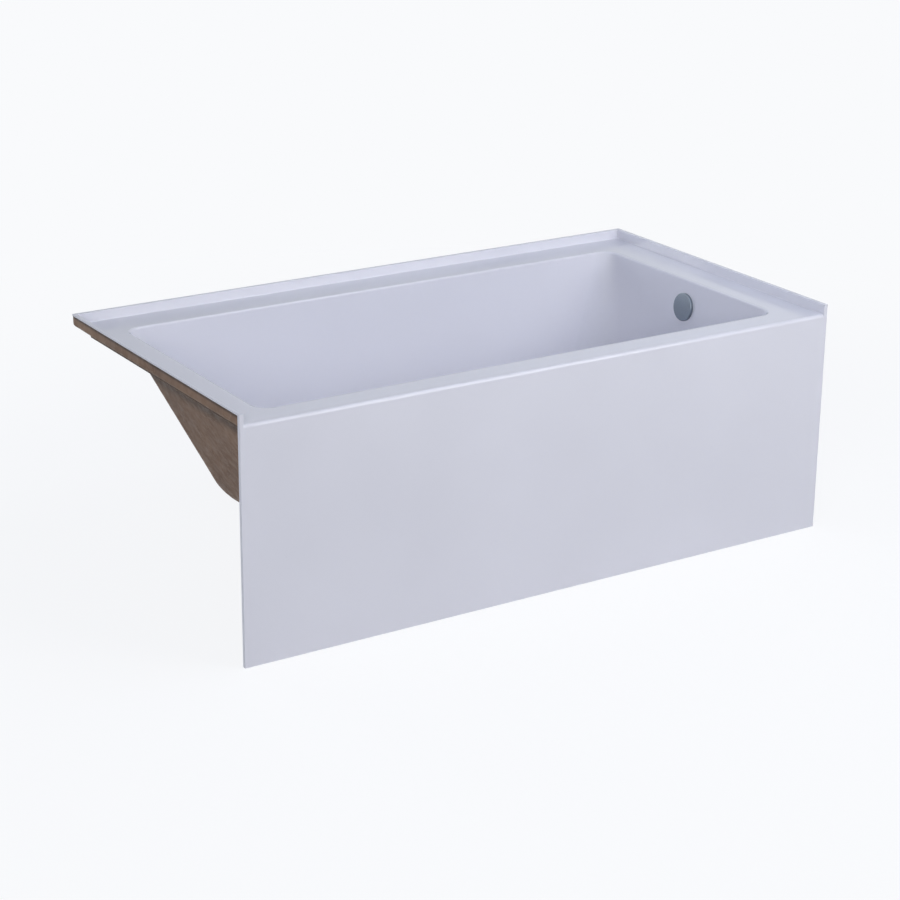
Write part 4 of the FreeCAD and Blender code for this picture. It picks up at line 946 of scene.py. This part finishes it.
def strand_tree():
    """Chopped strands strewn over a sprayed face and laid down on it."""
    tree, given = tree_with("Chopped Strands", (
        ("Sheet", "Object"), ("Wall", "Float"), ("Density", "Float"), ("Length", "Float"),
        ("Width", "Float"), ("Seed", "Int"), ("Material", "Material")))
    face = given["Geometry"]
    gap = off_the_sheet(tree, given["Sheet"])
    # They lie on the outer face only, which is past most of the wall from the sheet.
    most = add(tree, "ShaderNodeMath", {0: given["Wall"], 1: 0.7}, operation="MULTIPLY")
    outer = add(tree, "ShaderNodeMath", {0: gap, 1: most}, operation="GREATER_THAN")
    dense = add(tree, "ShaderNodeMath", {0: outer, 1: given["Density"]}, operation="MULTIPLY")
    strewn = add(tree, "GeometryNodeDistributePointsOnFaces", {
        "Mesh": face, "Density": dense, "Seed": given["Seed"]}).outputs
    spin = add(tree, "FunctionNodeRandomValue", {
        "Max": FULL_TURN, "Seed": given["Seed"]}, data_type="FLOAT")
    flat = add(tree, "FunctionNodeAlignRotationToVector", {"Vector": strewn["Normal"]},
               axis="Z")
    about = add(tree, "FunctionNodeAxisAngleToRotation", {"Axis": (0, 0, 1), "Angle": spin})
    laid = add(tree, "FunctionNodeRotateRotation", {"Rotation": flat, "Rotate By": about},
               rotation_space="LOCAL")
    # One flat strand is drawn once; each copy is longer or shorter by chance.
    half = add(tree, "ShaderNodeMath", {0: given["Length"], 1: 0.5}, operation="MULTIPLY")
    tip = add(tree, "ShaderNodeCombineXYZ", {"X": half})
    tail = add(tree, "ShaderNodeVectorMath", {0: tip, "Scale": -1.0}, operation="SCALE")
    line = add(tree, "GeometryNodeCurvePrimitiveLine", {"Start": tail, "End": tip})
    steps = add(tree, "GeometryNodeResampleCurve", {"Curve": line, "Count": 5})
    thin = add(tree, "ShaderNodeMath", {0: given["Width"], 1: 0.4}, operation="MULTIPLY")
    section = add(tree, "GeometryNodeCurvePrimitiveQuadrilateral", {
        "Width": given["Width"], "Height": thin}, mode="RECTANGLE")
    strand = add(tree, "GeometryNodeCurveToMesh", {
        "Curve": steps, "Profile Curve": section, "Fill Caps": True})
    own_place = add(tree, "GeometryNodeInputPosition")
    height = add(tree, "ShaderNodeSeparateXYZ", {0: own_place}).outputs["Z"]
    marked = add(tree, "GeometryNodeStoreNamedAttribute", {
        "Geometry": strand, "Name": "lift", "Value": height}, data_type="FLOAT",
        domain="POINT")
    cut = add(tree, "FunctionNodeRandomValue", {"Min": 0.55, "Max": 1.25, "Seed": 3},
              data_type="FLOAT")
    scale = add(tree, "ShaderNodeCombineXYZ", {"X": cut, "Y": 1.0, "Z": 1.0})
    many = add(tree, "GeometryNodeInstanceOnPoints", {
        "Points": strewn["Points"], "Instance": marked, "Rotation": laid, "Scale": scale})
    real = add(tree, "GeometryNodeRealizeInstances", {"Geometry": many})
    # Each strand bends up to 8 mm to a slow drift, then drops to the nearest place on the face.
    drift = add(tree, "ShaderNodeTexNoise", {
        "Vector": own_place, "Scale": per(26), "Detail": 1.0})
    aside = add(tree, "ShaderNodeVectorMath", {0: drift.outputs["Color"], 1: (0.5,) * 3},
                operation="SUBTRACT")
    wander = add(tree, "ShaderNodeVectorMath", {0: aside, "Scale": 16 * MM}, operation="SCALE")
    swept = add(tree, "ShaderNodeVectorMath", {0: own_place, 1: wander}, operation="ADD")
    under = add(tree, "GeometryNodeSampleNearestSurface", {
        "Mesh": face, "Value": own_place, "Sample Position": swept},
        data_type="FLOAT_VECTOR")
    normal = add(tree, "GeometryNodeInputNormal").outputs["Normal"]
    facing = add(tree, "GeometryNodeSampleNearestSurface", {
        "Mesh": face, "Value": normal, "Sample Position": swept}, data_type="FLOAT_VECTOR")
    lift = add(tree, "GeometryNodeInputNamedAttribute", {"Name": "lift"}, data_type="FLOAT")
    rise = add(tree, "ShaderNodeVectorMath", {0: facing, "Scale": lift}, operation="SCALE")
    rest = add(tree, "ShaderNodeVectorMath", {0: under, 1: rise}, operation="ADD")
    set_down = add(tree, "GeometryNodeSetPosition", {"Geometry": real, "Position": rest})
    return ended(tree, set_down, given["Material"])


# ---------------------------------------------------------------- pieces
class TUB_OT_sheet(bpy.types.Operator):
    """Finish the formed acrylic sheet"""

    bl_idname = "tub.sheet"
    bl_label = "Acrylic Sheet"

    def execute(self, context):
        shell = frame["nodes"]["acrylic_shell"]
        shell.data.materials.clear()
        shell.data.materials.append(finish(acrylic_vacuum_formed))
        return {"FINISHED"}


def sliced(mesh, spacing):
    """A mesh cut into cells of a spacing along all three axes, for lumps to bend."""
    work = bmesh.new()
    work.from_mesh(mesh)
    low, high = CAD_BOX
    for axis in range(3):
        normal = Vector((axis == 0, axis == 1, axis == 2))
        for number in range(1, int((high[axis] - low[axis]) / spacing) + 1):
            bmesh.ops.bisect_plane(work, geom=work.verts[:] + work.edges[:] + work.faces[:],
                                   plane_co=low + normal * (number * spacing),
                                   plane_no=normal, dist=MERGE)
    return mesh_of(work, "sliced")


class TUB_OT_laminate(bpy.types.Operator):
    """Spray the laminate: lumps, strands and resin"""

    bl_idname = "tub.laminate"
    bl_label = "Fibreglass Laminate"

    def execute(self, context):
        look = context.scene.bathtub.laminate
        node = "fibreglass_backing"
        shell = frame["nodes"]["acrylic_shell"]
        skin, glass = finish(laminate_sprayed), finish(glass_strand_wetted)
        lumpy = smoothed(grown(lump_tree(), sliced(merged(node), look.cell), sheet=shell,
                               lump=look.lump, wall=look.wall, material=skin))
        strands = grown(strand_tree(), lumpy.copy(), sheet=shell, wall=look.wall,
                        density=look.strands, length=look.strand_length,
                        width=look.strand_width, seed=look.seed, material=glass)
        strands.shade_smooth()
        show(node + "_skin", lumpy, skin, node)
        show(node + "_strands", strands, glass, node, stands_for_it=False)
        return {"FINISHED"}


class TUB_OT_timber(bpy.types.Operator):
    """Ease the boards, battens, rail and braces and show their grain"""

    bl_idname = "tub.timber"
    bl_label = "Timber"

    def execute(self, context):
        boards = {"base_board": birch_plywood_flat, "apron_foot_rail": spruce_planed}
        boards.update({side + "_rim_batten": spruce_glassed_in
                       for side in ("front", "back", "left", "right")})
        boards.update({side + "_apron_brace": birch_plywood_on_edge
                       for side in ("left", "middle", "right")})
        ease_solids(boards, context.scene.bathtub.timber.easing, "_eased")
        return {"FINISHED"}


def hat_section(look, height, reach, bend_steps=5):
    """A pressed hat section with rounded bends, its channel down, about its own middle."""
    half = (look.channel - look.sheet) / 2
    top, bottom = height - look.sheet / 2, look.sheet / 2
    line = [Vector(point) for point in (
        (-half - look.flange, top), (-half, top), (-half, bottom), (half, bottom),
        (half, top), (half + look.flange, top))]
    points = [line[0]]
    for before, corner, after in zip(line, line[1:], line[2:]):
        back = (before - corner).normalized()
        ahead = (after - corner).normalized()
        for step in range(bend_steps + 1):
            angle = math.pi / 2 * step / bend_steps
            points.append(corner + (back * (1 - math.sin(angle))
                                    + ahead * (1 - math.cos(angle))) * look.bend)
    points.append(line[-1])
    last = len(points) - 1
    left, right = [], []
    for number, point in enumerate(points):
        ahead = points[min(number + 1, last)] - points[max(number - 1, 0)]
        side = Vector((-ahead.y, ahead.x)).normalized() * look.sheet / 2
        left.append(point + side)
        right.append(point - side)
    work = bmesh.new()
    near, far = [[[work.verts.new((point.x, along, point.y)) for point in face]
                  for face in (left, right)] for along in (-reach / 2, reach / 2)]
    for one, other in (*zip(near, far), near, far):
        for start in range(last):
            work.faces.new((one[start], one[start + 1], other[start + 1], other[start]))
    for edge in (0, -1):
        work.faces.new((near[0][edge], far[0][edge], far[1][edge], near[1][edge]))
    return built_up(work, "hat_section")


class TUB_OT_leg_bars(bpy.types.Operator):
    """Press the two leg bars from sheet"""

    bl_idname = "tub.leg_bars"
    bl_label = "Leg Bars"

    def execute(self, context):
        look = context.scene.bathtub.leg_bar
        zinc = finish(steel_hot_dip_galvanised)
        for side in ("left", "right"):
            node = side + "_leg_bar"
            size = size_of(node)
            bar = placed(hat_section(look, size.z, size.y), standing_at(node))
            show(node + "_pressed", eased(bar, look.easing), zinc, node)
        return {"FINISHED"}


def spots_of(node):
    """A point under the middle of each separate solid in a node, at its lowest level."""
    work = bmesh.new()
    work.from_mesh(frame["nodes"][node].data)
    bmesh.ops.remove_doubles(work, verts=work.verts, dist=MERGE)
    left = set(work.verts)
    spots = []
    while left:
        island, edge = set(), [next(iter(left))]
        while edge:
            vertex = edge.pop()
            if vertex not in island:
                island.add(vertex)
                edge += [link.other_vert(vertex) for link in vertex.link_edges]
        left -= island
        low, high = [[pick(vertex.co[axis] for vertex in island) for axis in range(3)]
                     for pick in (min, max)]
        spots.append(((low[0] + high[0]) / 2, (low[1] + high[1]) / 2, low[2]))
    work.free()
    mesh = bpy.data.meshes.new(node + "_spots")
    mesh.from_pydata(sorted(spots), [], [])
    return mesh


def repeated(mesh, node, material):
    """One fastener's mesh set in the place of every fastener of a node."""
    pattern = loose_object("pattern", mesh)
    many = grown(spots_tree(), spots_of(node), fastener=pattern, material=material)
    bpy.data.objects.remove(pattern)
    return smoothed(many)


class TUB_OT_screws(bpy.types.Operator):
    """Turn one pan-head screw and set it in every place"""

    bl_idname = "tub.screws"
    bl_label = "Leg Bar Screws"

    def execute(self, context):
        look = context.scene.bathtub.screw
        node = "leg_bar_screws"
        zinc = finish(steel_zinc_plated)
        long, head, core = size_of(node).z, look.head, look.core
        blank = turned(((0, 0, 0), (head * 0.72, 0, head * 0.13),
                        (head, look.head_height * 0.47, head * 0.11),
                        (head, look.head_height, head * 0.04), (core, look.head_height, 0),
                        (core, long - look.point, 0), (0, long, 0)), steps=40)
        slot = (look.recess_width, head * 1.1, look.recess * 2)
        cross = block("cross", ((0, 0, 0), slot), ((0, 0, 0), (slot[1], slot[0], slot[2])))
        screw = grown(thread_tree(), less(blank, cross), core=core, depth=look.thread,
                      pitch=look.pitch, start=look.head_height,
                      length=long - look.head_height - look.point, material=zinc)
        show(node + "_threaded", repeated(screw, node, zinc), zinc, node)
        return {"FINISHED"}


def hexagon_nut(look, steps=72):
    """A hexagon nut whose corners are chamfered by a cone at both ends."""
    flat, height, bore = look.nut_flats / 2, look.nut_height, look.nut_bore
    worn_in = flat * 0.97
    mouth = bore + look.nut_chamfer
    rings = []
    for step in range(steps):
        within = (FULL_TURN * step / steps + SIXTH / 2) % SIXTH - SIXTH / 2
        outer = flat / math.cos(within)
        drop = (outer - worn_in) * math.tan(NUT_CONE)
        rings.append(((mouth, 0), (worn_in, 0), (outer, drop), (outer, height - drop),
                      (worn_in, height), (mouth, height), (bore, height - look.nut_chamfer),
                      (bore, look.nut_chamfer)))
    return spun(rings, "hexagon_nut")


def threaded_stud(node, look, threads, zinc):
    """A foot's stud: a chamfered core with a thread whose crests stay inside the solid."""
    size = size_of(node)
    core, runout = size.x / 2 - look.thread * 1.1, look.thread * 2
    rod = turned(((0, 0, 0), (core, 0, 0), (core, size.z - runout, 0),
                  (core - runout, size.z, 0), (0, size.z, 0)), steps=32)
    stud = grown(threads, rod, core=core, depth=look.thread, pitch=look.pitch, start=runout,
                 length=size.z - runout * 3, material=zinc)
    return smoothed(placed(stud, standing_at(node)))


def ribbed_pad(node, bore, look, ribs, nylon):
    """A foot's pad: a dished disc with a hub round the stud and ribs up to it."""
    size = size_of(node)
    edge, top, rim = size.x / 2, size.z, look.pad_rim
    base = turned(((0, 0, 0), (edge, 0, rim * 0.16), (edge, rim, rim * 0.24),
                   (edge * 0.8, rim * 1.2, rim * 0.4), (look.pad_hub, top, rim * 0.2),
                   (bore, top, rim * 0.08), (bore, look.pad_seat, 0), (0, look.pad_seat, 0)))
    pad = grown(ribs, base, count=look.ribs, radius=(edge + bore) / 2, height=top / 2,
                size=(look.rib_length, look.rib_width, look.rib_height), material=nylon)
    return smoothed(placed(pad, standing_at(node)))


class TUB_OT_feet(bpy.types.Operator):
    """Make the levelling feet: lock nuts, threaded studs and ribbed pads"""

    bl_idname = "tub.feet"
    bl_label = "Levelling Feet"

    def execute(self, context):
        look = context.scene.bathtub.foot
        zinc, nylon = finish(steel_zinc_plated), finish(nylon_moulded)
        nuts = repeated(hexagon_nut(look), "foot_lock_nuts", zinc)
        show("foot_lock_nuts_chamfered", nuts, zinc, "foot_lock_nuts")
        threads, ribs = thread_tree(), rib_tree()
        for foot in FEET:
            stud, pad = foot + "_stud", foot + "_pad"
            show(stud + "_threaded", threaded_stud(stud, look, threads, zinc), zinc, stud)
            bore = size_of(stud).x / 2
            show(pad + "_ribbed", ribbed_pad(pad, bore, look, ribs, nylon), nylon, pad)
        return {"FINISHED"}


def square_to_wall(lean):
    """The place of pieces on the overflow's axis, which dips behind the drain end."""
    ring = "overflow_retaining_ring"
    size = size_of(ring)
    thick = (size.x - size.y * math.sin(lean)) / math.cos(lean)
    behind = Vector((math.cos(lean), 0, -math.sin(lean)))
    face = centre_of(ring) + behind * thick / 2
    return Matrix.Translation(face) @ Matrix.Rotation(math.pi / 2 + lean, 4, "Y")


class TUB_OT_overflow(bpy.types.Operator):
    """Spin the overflow's plain cover and finish what clamps behind it"""

    bl_idname = "tub.overflow"
    bl_label = "Overflow"

    def execute(self, context):
        look = context.scene.bathtub.overflow
        outer, front = size_of("overflow_cover").y / 2, -look.depth
        rim, sheet = -look.gap, look.sheet
        cup = turned(((0, front, 0), (outer, front, look.edge), (outer, rim, sheet / 5),
                      (outer - sheet, rim, sheet / 5),
                      (outer - sheet, front + sheet, sheet / 3), (0, front + sheet, 0)),
                     steps=128)
        # The tool's own +X points down the wall once the cover is turned to its place.
        slot = block("slot", ((outer, 0, rim), (outer, look.slot, -2 * (front + sheet - rim))))
        cover = placed(less(cup, slot), square_to_wall(look.lean))
        show("overflow_cover_spun", smoothed(cover), finish(nickel_brushed), "overflow_cover")
        behind = {"overflow_retaining_ring": abs_moulded, "overflow_gasket": rubber_moulded,
                  "overflow_elbow": abs_moulded}
        ease_solids(behind, context.scene.bathtub.waste.easing, "_moulded")
        return {"FINISHED"}


class TUB_OT_drain(bpy.types.Operator):
    """Finish the strainer, its gasket and shoe, and the domed stopper on its post"""

    bl_idname = "tub.drain"
    bl_label = "Drain And Stopper"

    def execute(self, context):
        look = context.scene.bathtub.drain
        around = {"drain_strainer": nickel_brushed, "drain_gasket": rubber_moulded,
                  "drain_shoe": abs_moulded, "stopper_post": steel_zinc_plated,
                  "stopper_seal": rubber_moulded}
        ease_solids(around, context.scene.bathtub.waste.easing, "_finished")
        size, deep = size_of("stopper_cap"), look.hub_length
        edge, top = size.x / 2, size.z - deep
        cap = turned(((look.bore, -deep, top * 0.06), (look.hub, -deep, top * 0.1),
                      (look.hub, 0, top * 0.12), (edge, 0, top * 0.08),
                      (edge, top * 0.3, top * 0.1),
                      (edge - look.shoulder * 0.8, top * 0.62, look.shoulder),
                      (edge / 2, top, look.shoulder * 4), (0, top, 0), (0, top * 0.1, 0),
                      (look.bore, top * 0.1, 0)), steps=96)
        cap = placed(cap, standing_at("stopper_cap", deep))
        show("stopper_cap_domed", cap, finish(nickel_brushed), "stopper_cap")
        return {"FINISHED"}


def slip_place(joint, cap):
    """Where a slip nut's mouth is and the way it faces, for a nut that is drawn along +Z."""
    low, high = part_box(joint + "_slip_nut")
    centre = centre_of(joint + "_slip_nut")
    over = Matrix.Rotation(math.pi, 4, "X")
    along_the_tub = Matrix.Rotation(math.pi / 2, 4, "Y")
    return {
        "elbow": Matrix.Translation((centre.x, centre.y, low.z + cap)) @ over,
        "riser": Matrix.Translation((centre.x, centre.y, high.z - cap)),
        "branch": Matrix.Translation((low.x + cap, centre.y, centre.z)) @ along_the_tub @ over,
        "shoe": Matrix.Translation((high.x - cap, centre.y, centre.z)) @ along_the_tub,
    }[joint]


class TUB_OT_waste(bpy.types.Operator):
    """Finish the tubes and tee and mould the ribbed slip nuts"""

    bl_idname = "tub.waste"
    bl_label = "Waste And Slip Joints"

    def execute(self, context):
        look = context.scene.bathtub.waste
        fittings = dict.fromkeys(("overflow_tube", "shoe_tube", "waste_tee"), abs_moulded)
        ease_solids(fittings, look.easing, "_finished")
        ribs, black = rib_tree(), finish(polypropylene_moulded)
        outer, thread, bore = look.nut_outer, look.nut_thread, look.nut_bore
        cap, mouth = look.nut_cap, look.nut_cap - look.nut_length
        inner = cap - look.nut_end
        for joint in SLIP_JOINTS:
            ring = turned(((outer, mouth, look.easing), (outer, cap, look.easing * 3),
                           (bore, cap, look.easing), (bore, inner, 0), (thread, inner, 0),
                           (thread, mouth, look.easing)), steps=96)
            nut = grown(ribs, ring, count=look.ribs, radius=outer,
                        size=(look.rib, look.rib, look.nut_length * 0.82),
                        height=(cap + mouth) / 2 - look.easing, material=black)
            nut = smoothed(placed(nut, slip_place(joint, cap)))
            show(joint + "_slip_nut_ribbed", nut, black, joint + "_slip_nut")
            ease_solids({joint + "_slip_washer": polythene_moulded}, look.easing, "_finished")
        return {"FINISHED"}


# ---------------------------------------------------------------- stage
def camera_at(look):
    """The camera at the photograph's view."""
    camera = bpy.data.cameras.new("camera")
    camera.lens = look.lens
    camera.sensor_width = 36
    camera.clip_end = 100
    holder = loose_object("camera", camera)
    level = math.cos(look.elevation)
    back = Vector((math.sin(look.azimuth) * level, -math.cos(look.azimuth) * level,
                   math.sin(look.elevation)))
    aim = (-back).to_track_quat("-Z", "Y").to_matrix().to_4x4()
    holder.matrix_world = (Matrix.Translation(look.camera_place) @ aim
                           @ Matrix.Rotation(look.roll, 4, "Z"))
    return holder


def soft_box(name, place, width, power, hex_colour):
    """A square soft box that faces the middle of the tub."""
    light = bpy.data.lights.new(name, "AREA")
    light.size = width
    light.energy = power
    light.color = linear(hex_colour)
    holder = loose_object(name, light)
    holder.visible_camera = False
    holder.location = place
    middle = (CAD_BOX[0] + CAD_BOX[1]) / 2
    holder.rotation_euler = (middle - Vector(place)).to_track_quat("-Z", "Y").to_euler()


def studio(look):
    """Faint light from all round, more of it from one side, and the plain backdrop."""
    world = bpy.data.worlds.new("studio")
    world.use_nodes = True
    tree = world.node_tree
    tree.nodes.clear()
    heading = add(tree, "ShaderNodeTexCoord").outputs["Generated"]
    aside = add(tree, "ShaderNodeVectorMath", {0: heading, 1: tuple(look.bright_side)},
                operation="DOT_PRODUCT").outputs["Value"]
    ahead = add(tree, "ShaderNodeMath", {0: aside, 1: 0.0}, operation="MAXIMUM")
    lobe = add(tree, "ShaderNodeMath", {0: ahead, 1: 2.0}, operation="POWER")
    power = add(tree, "ShaderNodeMapRange", {
        "Value": lobe, "To Min": look.even_light, "To Max": look.even_light + look.side_light})
    around = add(tree, "ShaderNodeBackground", {"Color": paint(look.room), "Strength": power})
    shown = add(tree, "ShaderNodeBackground", {"Color": paint(look.backdrop)})
    both = add(tree, "ShaderNodeMixShader", {0: seen_directly(tree), 1: around, 2: shown})
    add(tree, "ShaderNodeOutputWorld", {"Surface": both})
    return world


class TUB_OT_stage(bpy.types.Operator):
    """Set the camera, the soft lamps, the backdrop and the floor"""

    bl_idname = "tub.stage"
    bl_label = "Stage"

    def execute(self, context):
        look = context.scene.bathtub.stage
        scene = context.scene
        scene.view_settings.view_transform = "Standard"
        scene.camera = camera_at(look)
        scene.world = studio(look)
        for name, (place, width, power, tint) in SOFT_BOXES.items():
            soft_box(name, place, width, power * look.lamp_level, tint)
        level, reach = CAD_BOX[0].z, look.floor_reach
        mesh = bpy.data.meshes.new("floor")
        mesh.from_pydata([(x, y, level) for x, y in ((-reach, -reach), (reach, -reach),
                                                     (reach, reach), (-reach, reach))],
                         [], [(0, 1, 2, 3)])
        mesh.materials.append(finish(screed_painted))
        loose_object("floor", mesh)
        return {"FINISHED"}


# ---------------------------------------------------------------- panel
class TUB_PT_panel(bpy.types.Panel):
    """The bathtub's pieces and settings"""

    bl_idname = "TUB_PT_panel"
    bl_label = "Alcove Bathtub"
    bl_space_type = "VIEW_3D"
    bl_region_type = "UI"
    bl_category = "Bathtub"

    def draw(self, context):
        for name in PIECES:
            self.layout.operator("tub." + name)
        for part in context.scene.bathtub.bl_rna.properties:
            if part.type == "POINTER" and part.identifier != "rna_type":
                group = getattr(context.scene.bathtub, part.identifier)
                box = self.layout.box()
                box.label(text=part.identifier.replace("_", " ").title())
                for prop in group.bl_rna.properties:
                    if prop.identifier not in ("rna_type", "name"):
                        box.prop(group, prop.identifier)


CLASSES = (AcrylicLook, LaminateLook, TimberLook, LegBarLook, ScrewLook, FootLook,
           OverflowLook, DrainLook, WasteLook, StageLook, BathtubLook, TUB_OT_sheet,
           TUB_OT_laminate, TUB_OT_timber, TUB_OT_leg_bars, TUB_OT_screws, TUB_OT_feet,
           TUB_OT_overflow, TUB_OT_drain, TUB_OT_waste, TUB_OT_stage, TUB_PT_panel)


def register():
    """Make the operators, the panel and the settings known."""
    for kind in CLASSES:
        bpy.utils.register_class(kind)
    bpy.types.Scene.bathtub = PointerProperty(type=BathtubLook)


def unregister():
    """Take them all away again."""
    del bpy.types.Scene.bathtub
    for kind in reversed(CLASSES):
        bpy.utils.unregister_class(kind)


def main():
    """Dress the whole tub."""
    register()
    for name in PIECES:
        getattr(bpy.ops.tub, name)()


if __name__ == "__main__":
    main()
